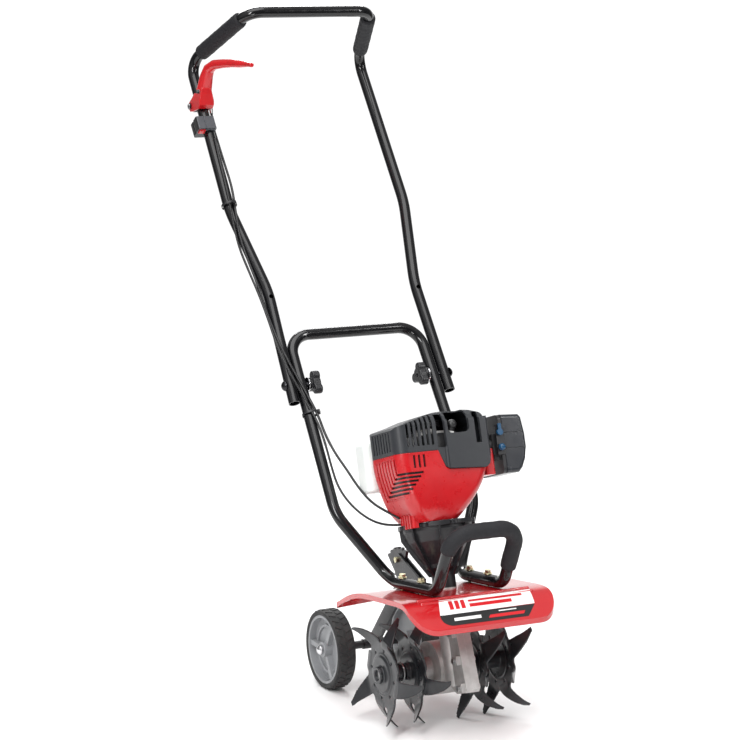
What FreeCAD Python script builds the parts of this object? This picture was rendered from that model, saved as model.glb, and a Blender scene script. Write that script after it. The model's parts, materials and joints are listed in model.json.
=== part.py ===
import FreeCAD, Part
import math
import os
from FreeCAD import Vector, Placement, Rotation

# A folding front-tine tiller. Millimetres, +Z up, +X to the operator's left-hand
# side seen from the front, +Y towards the operator. Everything is drawn from the
# tine axle (y = 0) and shifted at the end, so that the origin is under the middle.

Y_AXLE = -271.0          # where the tine axle lies in the finished frame
LEAN = 17.0              # engine and drive column lean back, degrees

# handle tubes
TUBE_R = 11.1
TUBE_WALL = 1.6
FOAM_R = 15.5
PIVOT_Y = 307.0          # handle fold bolts
PIVOT_Z = 598.0
UPPER_END = (166.5, 285, 567)
UPPER_LOW = (159, 422, 763)
UPPER_MID = (191, 531, 912)
UPPER_BACK = (187.5, 736, 1191)
UPPER_TOP = (132, 567, 1295)
LOOP_CORNER = (140, 373, 683)
LEG_BEND = (147, 147, 378)
DECK_REAR = (71, 64, 260)
DECK_FRONT = (68, -111, 281)
BAIL_TOP = (67, -166, 397)
BOLT_R = 3.95
HOLE_R = 4.0

# tines
TINE_R = 104.0
TINE_ROOT = 60.0
TINE_T = 4.0
SWING = 13.0             # how far each tine arm sweeps back from root to tip, degrees
OUTER_TINE_X = 120.0
INNER_TINE_X = 64.0
SHAFT_R = 9.5
SHAFT_END = 129.0
CLIP_X = 86.0            # ring clips that hold the outer tines

# worm drive
WHEEL_TEETH = 34
MODULE = 2.5
WHEEL_PITCH_R = WHEEL_TEETH * MODULE / 2
WORM_PITCH_R = 13.5
WORM_PITCH = math.pi * MODULE
CENTRE_DISTANCE = WHEEL_PITCH_R + WORM_PITCH_R
WORM_TURN = 75.0         # brings a thread flank between two wheel teeth
DRIVE_R = 5.0

# wheels
WHEEL_Y = 287.0
WHEEL_Z = 77.7
WHEEL_R = 77.7
RIM_R = 66.5
WHEEL_IN = 72.0
WHEEL_OUT = 110.0
AXLE_R = 5.0
FRAME_PIVOT = (160.0, 222.0)      # wheel frame hinge, y and z
LOCK_R = 50.0
LOCK_ANGLE = 10.0

# cables
CABLE_R = 2.5
LEAD_R = 2.3

X = Vector(1, 0, 0)
Y = Vector(0, 1, 0)
Z = Vector(0, 0, 1)
O = Vector(0, 0, 0)


# ---------------------------------------------------------------- helpers
def vec(p):
    return Vector(p[0], p[1], p[2])


def block(x0, x1, y0, y1, z0, z1):
    return Part.makeBox(x1 - x0, y1 - y0, z1 - z0, Vector(x0, y0, z0))


def rod(x, y, z, r, length, axis=X):
    """A cylinder centred on x, y, z."""
    axis = Vector(axis).normalize()
    return Part.makeCylinder(r, length, Vector(x, y, z) - axis * (length / 2), axis)


def span(x0, x1, y, z, r):
    """A cylinder along X between two x values."""
    return Part.makeCylinder(r, x1 - x0, Vector(x0, y, z), X)


def fuse(shapes):
    return shapes[0].multiFuse(shapes[1:]).removeSplitter()


def mirrored(shape):
    return shape.mirror(O, X)


def both_sides(shape):
    return Part.makeCompound([shape, mirrored(shape)])


def plate_yz(points, x0, x1):
    """A flat plate with an outline in Y and Z, between two x values."""
    wire = Part.makePolygon([Vector(x0, y, z) for y, z in points + points[:1]])
    return Part.Face(wire).extrude(Vector(x1 - x0, 0, 0))


def plate_xy(points, z0, z1):
    wire = Part.makePolygon([Vector(x, y, z0) for x, y in points + points[:1]])
    return Part.Face(wire).extrude(Vector(0, 0, z1 - z0))


def hexagon(x, y, z, flats, height, axis=Z):
    """A hexagonal nut or bolt head standing on x, y, z along axis."""
    r = flats / math.sqrt(3)
    ring = [Vector(r * math.cos(math.radians(60 * i)), r * math.sin(math.radians(60 * i)), 0)
            for i in range(7)]
    nut = Part.Face(Part.makePolygon(ring)).extrude(Vector(0, 0, height))
    nut.Placement = Placement(Vector(x, y, z), Rotation(Z, Vector(axis)))
    return nut


def rounded_rect(x0, x1, y0, y1, z, r):
    """A closed wire, a rectangle with four equal corner arcs, at height z."""
    k = r * (1 - math.sqrt(0.5))
    a = [Vector(x0 + r, y0, z), Vector(x1 - r, y0, z), Vector(x1, y0 + r, z), Vector(x1, y1 - r, z),
         Vector(x1 - r, y1, z), Vector(x0 + r, y1, z), Vector(x0, y1 - r, z), Vector(x0, y0 + r, z)]
    m = [Vector(x1 - k, y0 + k, z), Vector(x1 - k, y1 - k, z),
         Vector(x0 + k, y1 - k, z), Vector(x0 + k, y0 + k, z)]
    edges = []
    for i in range(4):
        edges.append(Part.LineSegment(a[2 * i], a[2 * i + 1]).toShape())
        edges.append(Part.Arc(a[2 * i + 1], m[i], a[(2 * i + 2) % 8]).toShape())
    return Part.Wire(edges)


def rounded_box(x0, x1, y0, y1, z0, z1, r):
    return Part.Face(rounded_rect(x0, x1, y0, y1, z0, r)).extrude(Vector(0, 0, z1 - z0))


def path_wire(points, radii):
    """Straight runs joined by tangent arcs. radii holds one value for each inner point."""
    pts = [vec(p) for p in points]
    edges = []
    start = pts[0]
    for i in range(1, len(pts) - 1):
        back = (pts[i - 1] - pts[i]).normalize()
        ahead = (pts[i + 1] - pts[i]).normalize()
        turn = math.pi - back.getAngle(ahead)
        t = radii[i - 1] * math.tan(turn / 2)
        a = pts[i] + back * t
        b = pts[i] + ahead * t
        middle = (back + ahead).normalize()
        m = pts[i] + middle * (radii[i - 1] / math.cos(turn / 2) - radii[i - 1])
        edges.append(Part.LineSegment(start, a).toShape())
        edges.append(Part.Arc(a, m, b).toShape())
        start = b
    edges.append(Part.LineSegment(start, pts[-1]).toShape())
    return Part.Wire(edges)


def swept(points, radii, r):
    wire = path_wire(points, radii)
    first = vec(points[1]) - vec(points[0])
    disc = Part.Face(Part.Wire(Part.makeCircle(r, vec(points[0]), first)))
    return wire.makePipe(disc)


def cord(points, r, name):
    """A cable along a hand-laid route, each bend as large as its runs allow."""
    pts = [vec(p) for p in points]
    radii = []
    for i in range(1, len(pts) - 1):
        one = pts[i] - pts[i - 1]
        two = pts[i + 1] - pts[i]
        half_turn = one.getAngle(two) / 2
        radii.append(0.45 * min(one.Length, two.Length) / math.tan(half_turn))
    tube = swept(points, radii, r)
    wire = path_wire(points, radii)
    print(name, "length", round(wire.Length, 1), "least radius", round(min(radii), 1),
          "volume ratio", round(tube.Volume / (wire.Length * math.pi * r * r), 4))
    return tube


def on_column(shape):
    """From the engine column's own upright frame into the leaning column."""
    a = math.radians(LEAN)
    place = Vector(0, -CENTRE_DISTANCE * math.cos(a), TINE_R + CENTRE_DISTANCE * math.sin(a))
    moved = shape.copy()
    moved.Placement = Placement(place, Rotation(X, -LEAN)).multiply(moved.Placement)
    return moved


def save(shape, name):
    placed = shape.copy()
    placed.translate(Vector(0, Y_AXLE, 0))
    bad = "" if placed.isValid() else "INVALID"
    print(name, len(placed.Solids), "solids", round(placed.Volume / 1000, 2), "cm3", bad)
    placed.exportStep("parts/" + name + ".step")


# ---------------------------------------------------------------- handles
def tube_pair(points, radii, r):
    half = swept(points, radii, r)
    return half.fuse(mirrored(half)).removeSplitter()


def upper_path():
    return [UPPER_END, UPPER_LOW, UPPER_MID, UPPER_BACK, UPPER_TOP, (0, UPPER_TOP[1], UPPER_TOP[2])]


UPPER_BENDS = [250, 250, 34, 38]


def upper_handle():
    outer = tube_pair(upper_path(), UPPER_BENDS, TUBE_R)
    inner = tube_pair(upper_path(), UPPER_BENDS, TUBE_R - TUBE_WALL)
    tube = outer.cut(inner)
    front = Vector(0, -0.8, 0.6)
    for side in (-1, 1):
        tube = tube.cut(rod(side * 165, PIVOT_Y, PIVOT_Z, HOLE_R, 40))
        start = Vector(side * 159.6, 413, 751)
        tube = tube.cut(Part.makeCylinder(4.5, 20, start, front))
    return tube


def upper_solid():
    return tube_pair(upper_path(), UPPER_BENDS, TUBE_R)


def foam_sleeve(a, b, r, tube):
    """A straight foam grip with softened ends, from a to b over a tube."""
    axis = b - a
    length = axis.Length
    core = Part.makeCylinder(r, length - 12, a + axis * (6 / length), axis)
    low = Part.makeCone(r - 2.6, r, 6, a, axis)
    high = Part.makeCone(r, r - 2.6, 6, b - axis * (6 / length), axis)
    return fuse([core, low, high]).cut(tube)


def handle_grips(tube):
    a = vec(UPPER_BACK)
    b = vec(UPPER_TOP)
    run = b - a
    run.normalize()
    right = foam_sleeve(a + run * 40, a + run * 180, FOAM_R, tube)
    return both_sides(right)


def lower_path():
    return [(0, LOOP_CORNER[1], LOOP_CORNER[2]), LOOP_CORNER, LEG_BEND, DECK_REAR,
            DECK_FRONT, BAIL_TOP, (0, BAIL_TOP[1], BAIL_TOP[2])]


LOWER_BENDS = [45, 90, 50, 35, 40]


def lower_solid():
    return tube_pair(lower_path(), LOWER_BENDS, TUBE_R)


def lower_handle():
    inner = tube_pair(lower_path(), LOWER_BENDS, TUBE_R - TUBE_WALL)
    tube = lower_solid().cut(inner)
    for side in (-1, 1):
        tube = tube.cut(rod(side * 142, PIVOT_Y, PIVOT_Z, HOLE_R, 34))
        for y in DECK_BOLT_Y:
            tube = tube.cut(rod(side * deck_tube_x(y), y, deck_tube_z(y), DECK_BOLT_R, 34, Z))
    return tube


def front_grip(tube):
    leg = vec(DECK_FRONT) - vec(BAIL_TOP)
    leg.normalize()
    right_end = vec(BAIL_TOP) + leg * 92
    left_leg = Vector(-leg.x, leg.y, leg.z)
    left_top = Vector(-BAIL_TOP[0], BAIL_TOP[1], BAIL_TOP[2])
    left_end = left_top + left_leg * 41
    points = [tuple(left_end), tuple(left_top), BAIL_TOP, tuple(right_end)]
    return swept(points, [40, 40], 15.0).cut(tube)


# the tube runs that lie on the deck
DECK_BOLT_Y = (22.0, -50.0)
DECK_BOLT_R = 3.0


def deck_tube_x(y):
    k = (DECK_REAR[1] - y) / (DECK_REAR[1] - DECK_FRONT[1])
    return DECK_REAR[0] + k * (DECK_FRONT[0] - DECK_REAR[0])


def deck_tube_z(y):
    k = (DECK_REAR[1] - y) / (DECK_REAR[1] - DECK_FRONT[1])
    return DECK_REAR[2] + k * (DECK_FRONT[2] - DECK_REAR[2])


def handle_bolts():
    """Dome-headed fold bolts from outside, through both tubes, into the knobs."""
    bolts = []
    for side in (-1, 1):
        shank = span(112, 180, PIVOT_Y, PIVOT_Z, BOLT_R)
        head = Part.makeSphere(11, Vector(172.5, PIVOT_Y, PIVOT_Z))
        head = head.common(block(176.8, 190, PIVOT_Y - 12, PIVOT_Y + 12, PIVOT_Z - 12, PIVOT_Z + 12))
        bolt = shank.fuse(head).removeSplitter()
        bolts.append(bolt if side > 0 else mirrored(bolt))
    return bolts


def knob():
    """A three-lobed hand knob with a turned neck, on the +X side, facing inwards."""
    neck = Part.makeCone(8.5, 10.5, 9, Vector(121, PIVOT_Y, PIVOT_Z), X)
    body = span(106, 121.5, PIVOT_Y, PIVOT_Z, 15)
    lobes = []
    for i in range(3):
        a = math.radians(90 + 120 * i)
        y = PIVOT_Y + 15.5 * math.cos(a)
        z = PIVOT_Z + 15.5 * math.sin(a)
        lobes.append(span(106, 121.5, y, z, 9.5))
    body = fuse([body] + lobes)
    rims = [e for e in body.Edges if abs(e.BoundBox.XLength) < 0.01]
    body = body.makeFillet(2.2, rims)
    return body.fuse(neck).removeSplitter().cut(span(100, 131, PIVOT_Y, PIVOT_Z, HOLE_R))


# ---------------------------------------------------------------- hand controls
def grip_tube_point(z):
    """Centre of the left upright above its middle bend, at height z."""
    k = (z - UPPER_MID[2]) / (UPPER_BACK[2] - UPPER_MID[2])
    x = UPPER_MID[0] + k * (UPPER_BACK[0] - UPPER_MID[0])
    y = UPPER_MID[1] + k * (UPPER_BACK[1] - UPPER_MID[1])
    return Vector(-x, y, z)


def on_upright(shape, z):
    """From a frame with Z up the left upright and -Y towards the front."""
    up = grip_tube_point(z + 10) - grip_tube_point(z)
    tilt = math.degrees(math.atan2(up.y, up.z))
    moved = shape.copy()
    moved.Placement = Placement(grip_tube_point(z), Rotation(X, -tilt)).multiply(moved.Placement)
    return moved


LEVER_X = -188.2
LEVER_PIVOT = (695.0, 1107.0)
PIN_R = 3.0


def lever_clamp(tube):
    ring = Part.makeCylinder(15, 30, Vector(0, 0, -10), Z).common(block(-12.3, 12.3, -20, 20, -20, 30))
    ear = block(-11.5, 11.5, 2, 20, -6, 6)
    clamp = on_upright(ring.fuse(ear), 1112)
    rear = rounded_box(-28, 11, -1, 15, -14, 14, 4)
    rib = block(-5, 5, 10.5, 15, 13, 46)
    base = on_upright(rear.fuse(rib), 1068)
    pin = span(LEVER_X - 17.6, LEVER_X + 17.6, LEVER_PIVOT[0], LEVER_PIVOT[1], PIN_R)
    heads = [span(LEVER_X + a, LEVER_X + b, LEVER_PIVOT[0], LEVER_PIVOT[1], 6)
             for a, b in ((-20, -16.4), (16.4, 20))]
    return fuse([clamp, base, pin] + heads).cut(tube)


def throttle_lever():
    """A trigger that straddles the upright: two cheeks, a narrow neck and a finger arm."""
    side = [(705, 1113), (706, 1103), (698, 1096), (684, 1097), (655, 1104), (648, 1112),
            (649, 1135), (647, 1160), (640, 1180), (630, 1190), (628, 1204), (650, 1204),
            (662, 1197), (670, 1180), (672, 1160), (679, 1140), (693, 1122)]
    body = plate_yz(side, LEVER_X - 16, LEVER_X + 16)
    front = [(-16, 1090), (16, 1090), (16, 1120), (11, 1142), (11, 1210), (-11, 1210), (-11, 1142),
             (-16, 1120)]
    front = [Vector(LEVER_X + x, 600, z) for x, z in front]
    body = body.common(Part.Face(Part.makePolygon(front + front[:1])).extrude(Vector(0, 120, 0)))
    hollow = [(720, 1085), (640, 1085), (655.5, 1104), (657, 1112), (655.5, 1133), (661, 1141),
              (720, 1141)]
    body = body.cut(plate_yz(hollow, LEVER_X - 12.6, LEVER_X + 12.6))
    root = Part.makePolygon([Vector(x, 640, z) for x, z in
                             ((-199, 1186), (-177, 1186), (-177, 1203.5), (-199, 1203.5), (-199, 1186))])
    tip = Part.makePolygon([Vector(x, 494, z) for x, z in
                            ((-169, 1192), (-152, 1192), (-152, 1201), (-169, 1201), (-169, 1192))])
    arm = Part.makeLoft([root, tip], True)
    end = Part.makeCylinder(8.5, 9, Vector(-160.5, 494, 1192), Z)
    lever = fuse([body, arm, end])
    bore = span(LEVER_X - 20, LEVER_X + 20, LEVER_PIVOT[0], LEVER_PIVOT[1], PIN_R + 0.05)
    return lever.cut(bore)


def switch_box(tube):
    cover = rounded_box(-28, 11, -20, -1, -14, 14, 3)
    groove = block(-12, -10.8, -21, -19.2, -15, 15)
    pocket = block(-25.1, -11.4, -15, -3, -16, -9)
    box = cover.cut(groove).cut(pocket)
    return on_upright(box.cut(rod(-18.25, -9, -11.5, 1.55, 20, Y)), 1068).cut(tube)


def switch_rocker():
    """A rocker on a round pin that runs into both sides of the switch box."""
    rocker = block(-24.5, -12, -14.4, -3.6, -16.8, -10.6)
    rocker = rocker.cut(rod(-18.25, -9, -24.4, 8, 20, Y))
    rocker = rocker.cut(block(-26, -20.8, -20, 0, -12, -9)).cut(block(-15.7, -11, -20, 0, -12, -9))
    return on_upright(rocker.fuse(rod(-18.25, -9.3, -11.5, 1.5, 15.4, Y)), 1068)


# ---------------------------------------------------------------- cables and ties
THROTTLE_ROUTE = [
    (-164, 684, 1096), (-171, 661, 1070), (-173, 633, 1042), (-173, 600, 1001), (-175, 556, 955),
    (-187, 513, 915), (-191, 485, 867), (-184, 458, 820), (-178, 430, 780), (-175, 399, 734),
    (-173, 359, 690), (-166, 326, 652), (-153, 304, 616), (-141, 279, 580), (-131, 256, 547),
    (-127, 234, 513), (-121, 203, 482), (-112, 172, 456), (-105.5, 136, 428), (-96, 100, 405),
    (-82, 63, 393), (-73, 30, 387)]
LEAD_ROUTE = [
    (-186, 614, 1048), (-189, 591, 1017), (-190, 564, 980), (-193, 533, 940), (-196, 503, 892),
    (-194, 481, 846), (-188, 452, 806), (-182, 417, 764), (-180, 379, 722), (-179, 343, 678),
    (-173, 311, 639), (-160, 290, 603), (-146, 270, 567), (-136, 243, 532), (-132, 219, 494),
    (-129, 202, 457), (-125, 184, 423), (-116, 158, 397), (-104, 125, 378), (-93, 90, 369),
    (-82, 55, 369), (-73, 26, 375)]


def zip_tie(centre, axis, towards):
    """A tie drawn round a tube and two cables that lie on the towards side."""
    towards = Vector(towards).normalize()
    middle = Vector(centre) + towards * 2.8
    outer = rod(middle.x, middle.y, middle.z, 15.6, 4.5, axis)
    inner = rod(middle.x, middle.y, middle.z, 14.4, 6, axis)
    head = Part.makeBox(8, 6, 7, Vector(-4, -3, -3.5))
    spot = middle + towards * 16.8
    head.Placement = Placement(spot, Rotation(Y, towards)).multiply(head.Placement)
    return fuse([outer, head]).cut(inner)


def cable_tie_upper():
    z = 921
    centre = grip_tube_point(z)
    return zip_tie(centre, grip_tube_point(z + 10) - centre, (0.15, -0.85, 0.5))


def cable_tie_lower():
    k = (LOOP_CORNER[2] - 546) / (LOOP_CORNER[2] - LEG_BEND[2])
    start = vec(LOOP_CORNER)
    leg = vec(LEG_BEND) - start
    centre = start + leg * k
    centre.x = -centre.x
    leg.x = -leg.x
    return zip_tie(centre, leg, (0.8, -0.5, 0.3))


# ---------------------------------------------------------------- deck shield
SHIELD_T = 1.8
SHIELD_TOP = [(166, 200), (130, 219), (95, 235), (50, 248.3), (0, 256), (-60, 263.2),
              (-112, 268.8), (-138, 267), (-165, 250.5), (-193, 229)]


def shield_band(depth):
    """The deck's long profile, thickened downwards by depth."""
    top = [Vector(-170, y, z) for y, z in SHIELD_TOP]
    low = [Vector(-170, y, z - depth) for y, z in SHIELD_TOP]
    upper = Part.BSplineCurve()
    upper.interpolate(top)
    lower = Part.BSplineCurve()
    lower.interpolate(low)
    ends = [Part.LineSegment(top[-1], low[-1]).toShape(), Part.LineSegment(low[0], top[0]).toShape()]
    wire = Part.Wire([upper.toShape(), ends[0], lower.toShape(), ends[1]])
    return Part.Face(wire).extrude(Vector(340, 0, 0))


def shield_outline(inset):
    """Plan of the deck: a rounded front, straight sides and two rear wing tips."""
    w = 148 - inset
    f = -190 + inset
    r = 46 - inset
    k = r * (1 - math.sqrt(0.5))
    tip_y = 158 - inset * 1.6
    mid_y = 128 - inset
    half = 26.0
    edges = [
        Part.LineSegment(Vector(-w + r, f, 150), Vector(w - r, f, 150)).toShape(),
        Part.Arc(Vector(w - r, f, 150), Vector(w - k, f + k, 150), Vector(w, f + r, 150)).toShape(),
        Part.LineSegment(Vector(w, f + r, 150), Vector(w - 6, tip_y - 8, 150)).toShape(),
        Part.Arc(Vector(w - 6, tip_y - 8, 150), Vector(w - 9, tip_y, 150),
                 Vector(w - 18, tip_y, 150)).toShape(),
        Part.LineSegment(Vector(w - 18, tip_y, 150), Vector(half, mid_y, 150)).toShape(),
        Part.LineSegment(Vector(half, mid_y, 150), Vector(-half, mid_y, 150)).toShape(),
        Part.LineSegment(Vector(-half, mid_y, 150), Vector(-w + 18, tip_y, 150)).toShape(),
        Part.Arc(Vector(-w + 18, tip_y, 150), Vector(-w + 9, tip_y, 150),
                 Vector(-w + 6, tip_y - 8, 150)).toShape(),
        Part.LineSegment(Vector(-w + 6, tip_y - 8, 150), Vector(-w, f + r, 150)).toShape(),
        Part.Arc(Vector(-w, f + r, 150), Vector(-w + k, f + k, 150), Vector(-w + r, f, 150)).toShape()]
    return Part.Face(Part.Wire(edges)).extrude(Vector(0, 0, 160))


def shield(column_tube):
    prism = shield_outline(0)
    inner = shield_outline(SHIELD_T)
    skin = shield_band(SHIELD_T).common(prism)
    lip = shield_band(9.5).common(prism.cut(inner))
    deck = skin.fuse(lip)
    for y, z in ((-121, 268.9), (-136, 266.8)):
        rib = span(-112, 112, y, z, 3.2)
        balls = [Part.makeSphere(3.2, Vector(x, y, z)) for x in (-112, 112)]
        deck = deck.fuse(fuse([rib] + balls).common(block(-130, 130, y - 8, y + 8, z - 0.6, z + 8)))
    for side in (-1, 1):
        for y in DECK_BOLT_Y:
            deck = deck.cut(rod(side * deck_tube_x(y), y, 260, DECK_BOLT_R, 60, Z))
    return deck.cut(column_tube)


def deck_bolts(tube):
    """Screws through the tube runs and the deck, with plated nuts and washers."""
    sets = []
    for y in DECK_BOLT_Y:
        x = deck_tube_x(y)
        z = deck_tube_z(y)
        shank = Part.makeCylinder(DECK_BOLT_R, 44, Vector(x, y, z - 26), Z)
        washer = Part.makeCylinder(8, 1.6, Vector(x, y, z + TUBE_R), Z)
        nut = hexagon(x, y, z + TUBE_R + 1.6, 11, 5.5)
        head = hexagon(x, y, z - 30, 11, 4.5)
        sets.append(fuse([shank, washer, nut, head]).cut(tube))
        sets.append(mirrored(sets[-1]))
    return sets


# ---------------------------------------------------------------- wheels and bracket
def lock_point(radius, degrees):
    a = math.radians(degrees)
    return FRAME_PIVOT[0] + radius * math.sin(a), FRAME_PIVOT[1] + radius * math.cos(a)


def wheel_bracket():
    """Two cheeks on a foot plate. They carry the wheel frame's hinge and its lock."""
    cheek = [(74, 243.5), (74, 253), (150, 279), (166, 284), (180, 280), (182, 262),
             (176, 222), (172, 213), (160, 208), (150, 212.5), (130, 222), (100, 236.5)]
    right = plate_yz(cheek, 3.4, 6.4)
    tie = plate_yz([(74, 243.5), (74, 246.5), (98, 240), (98, 237)], -6.4, 6.4)
    bracket = fuse([right, mirrored(right), tie])
    y, z = lock_point(LOCK_R, LOCK_ANGLE)
    bracket = bracket.cut(rod(0, y, z, 3.05, 30))
    return bracket.cut(rod(0, FRAME_PIVOT[0], FRAME_PIVOT[1], 4.05, 30))


def wheel_frame():
    """The notched height plate, its arm down to the axle, and the axle's cross tube."""
    centre = Vector(-3, FRAME_PIVOT[0], FRAME_PIVOT[1])
    fan = Part.makeCylinder(74, 6, centre, X)
    wedge = [FRAME_PIVOT] + [lock_point(110, a) for a in (-16, 15, 50)]
    fan = fan.common(plate_yz(wedge, -3, 3))
    for i in range(5):
        y, z = lock_point(74, -6 + 12 * i)
        fan = fan.cut(rod(0, y, z, 4.2, 10))
    slot = []
    for i in range(23):
        y, z = lock_point(LOCK_R, LOCK_ANGLE - 9 + i * 35 / 22)
        slot.append(rod(0, y, z, 3.6, 10))
    fan = fan.cut(fuse(slot))
    arm = plate_yz([(148, 214), (173, 232), (299, 86), (276, 68)], -3, 3)
    hub = rod(0, FRAME_PIVOT[0], FRAME_PIVOT[1], 15, 6)
    sleeve = rod(0, WHEEL_Y, WHEEL_Z, 10, 44)
    frame = fuse([fan, arm, hub, sleeve])
    frame = frame.cut(rod(0, FRAME_PIVOT[0], FRAME_PIVOT[1], 4.05, 30))
    return frame.cut(rod(0, WHEEL_Y, WHEEL_Z, AXLE_R, 60))


def bracket_bolts():
    y, z = lock_point(LOCK_R, LOCK_ANGLE)
    hinge = rod(0, FRAME_PIVOT[0], FRAME_PIVOT[1], 4.0, 22)
    lock = rod(0, y, z, 3.0, 24)
    parts = [hinge.fuse(both_sides(hexagon(6.5, FRAME_PIVOT[0], FRAME_PIVOT[1], 13, 5, X))),
             lock.fuse(both_sides(hexagon(6.5, y, z, 10, 5, X)))]
    return [p.removeSplitter() for p in parts]


def axle():
    rod_part = rod(0, WHEEL_Y, WHEEL_Z, AXLE_R, 2 * WHEEL_OUT + 16)
    sleeve = span(22.2, WHEEL_IN - 0.5, WHEEL_Y, WHEEL_Z, 8)
    return fuse([rod_part, sleeve, mirrored(sleeve)])


def push_nuts():
    """Domed caps pressed on the axle's ends outside the wheels."""
    cap = Part.makeSphere(11, Vector(WHEEL_OUT - 0.5, WHEEL_Y, WHEEL_Z))
    cap = cap.common(span(WHEEL_OUT + 1, WHEEL_OUT + 14, WHEEL_Y, WHEEL_Z, 9.5))
    cap = cap.cut(span(WHEEL_OUT, WHEEL_OUT + 8, WHEEL_Y, WHEEL_Z, AXLE_R))
    return both_sides(cap)


def wheel_rim():
    """A moulded disc wheel: hub, dished web with three raised ribs, and a rim."""
    mid = (WHEEL_IN + WHEEL_OUT) / 2
    hub = span(WHEEL_IN, WHEEL_OUT, WHEEL_Y, WHEEL_Z, 15)
    web = span(mid - 3, mid + 3, WHEEL_Y, WHEEL_Z, RIM_R)
    band = span(WHEEL_IN + 2, WHEEL_OUT - 2, WHEEL_Y, WHEEL_Z, RIM_R)
    band = band.cut(span(WHEEL_IN, WHEEL_OUT, WHEEL_Y, WHEEL_Z, RIM_R - 5))
    flat = span(mid + 3, mid + 7, WHEEL_Y, WHEEL_Z, 48).cut(span(0, 200, WHEEL_Y, WHEEL_Z, 43))
    ribs = []
    for i in range(3):
        rib = block(mid + 1, WHEEL_OUT - 5, WHEEL_Y - 5, WHEEL_Y + 5, WHEEL_Z + 10, WHEEL_Z + RIM_R - 3)
        rib.rotate(Vector(0, WHEEL_Y, WHEEL_Z), X, 120 * i + 30)
        ribs.append(rib)
    wheel = fuse([hub, web, band, flat] + ribs)
    return wheel.cut(span(0, 200, WHEEL_Y, WHEEL_Z, AXLE_R + 0.05))


def tyre():
    """A hard rubber tyre with a rounded crown and two staggered rows of tread blocks."""
    mid = (WHEEL_IN + WHEEL_OUT) / 2
    half = [(RIM_R, -17), (71, -19), (75, -18), (76.2, -12)]
    section = [Vector(mid + x, 0, r) for r, x in half] + [Vector(mid - x, 0, r) for r, x in half[::-1]]
    wire = Part.makePolygon(section + section[:1])
    carcass = Part.Face(wire).revolve(O, X, 360)
    carcass.translate(Vector(0, WHEEL_Y, WHEEL_Z))
    blocks = []
    for row in (-1, 1):
        for i in range(30):
            lug = block(mid + row * 8 - 7, mid + row * 8 + 7, WHEEL_Y - 4.6, WHEEL_Y + 4.6,
                        WHEEL_Z + 74, WHEEL_Z + WHEEL_R - 0.2)
            lug.rotate(Vector(mid + row * 8, WHEEL_Y, WHEEL_Z), Z, row * 24)
            lug.rotate(Vector(0, WHEEL_Y, WHEEL_Z), X, 12 * i + (6 if row > 0 else 0))
            blocks.append(lug)
    ring = span(mid - 19, mid + 19, WHEEL_Y, WHEEL_Z, WHEEL_R)
    tread = Part.makeCompound(blocks).common(ring)
    return carcass.multiFuse(tread.Solids)


# ---------------------------------------------------------------- tines
def tine_section(radius, width, offset, swing, thick):
    """One rectangular station of a bent tine arm that points up along +Z."""
    a = math.radians(swing)
    out = Vector(0, math.sin(a), math.cos(a))
    side = Vector(0, math.cos(a), -math.sin(a))
    lean = Vector(1, 0, 0)
    c = out * radius + lean * offset
    pts = [c + side * (width / 2) - lean * (thick / 2), c + side * (width / 2) + lean * (thick / 2),
           c - side * (width / 2) + lean * (thick / 2), c - side * (width / 2) - lean * (thick / 2)]
    return Part.makePolygon(pts + pts[:1])


def star_tine(x, boss_in, boss_out):
    """Eight curved arms bent alternately out and in, a pressed centre and a hub, at +x."""
    disc = span(-TINE_T / 2, TINE_T / 2, 0, 0, 64)
    for i in range(8):
        a = math.radians(45 * i + 22.5)
        disc = disc.cut(rod(0, 70 * math.sin(a), 70 * math.cos(a), 9.5, 10))
        b = math.radians(45 * i + 8)
        hole = rod(0, 50 * math.sin(b), 50 * math.cos(b), 2.6, 10)
        hole = hole.fuse(rod(0, 45 * math.sin(b), 45 * math.cos(b), 2.6, 10))
        disc = disc.cut(hole)
    arms = []
    for i in range(8):
        way = 1 if i % 2 else -1
        stations = [(48, 36, 0, 0, 4), (64, 35, way * 1, 0, 4), (76, 30, way * 7, 3, 4),
                    (90, 21, way * 17, 7, 3.8), (TINE_R - 0.6, 9, way * 29, SWING, 3)]
        arm = Part.makeLoft([tine_section(*s) for s in stations], True)
        arm.rotate(O, X, 45 * i)
        arms.append(arm)
    dome = Part.makeCone(38, 33, 6, Vector(0, 0, 0), X).cut(span(-1, 2.4, 0, 0, 30))
    hub = span(boss_in - x, boss_out - x, 0, 0, 16)
    tine = fuse([disc, dome, hub] + arms)
    tine = tine.cut(span(-200, 200, 0, 0, SHAFT_R))
    tine.rotate(O, X, SWING)
    tine.translate(Vector(x, 0, TINE_R))
    return tine


def tine_shaft():
    shaft = span(-SHAFT_END, SHAFT_END, 0, TINE_R, SHAFT_R)
    for side in (-1, 1):
        shaft = shaft.cut(rod(side * CLIP_X, 0, TINE_R, 2.0, 40, Z))
    return shaft


def tine_clips():
    """Ring clips: a pin through hub and shaft, held by a spring ring round the hub."""
    clip = rod(CLIP_X, 0, TINE_R, 2.0, 38, Z)
    loop = Part.makeTorus(18.2, 1.5, Vector(CLIP_X, 0, TINE_R), X)
    return both_sides(clip.fuse(loop).removeSplitter())


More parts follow.
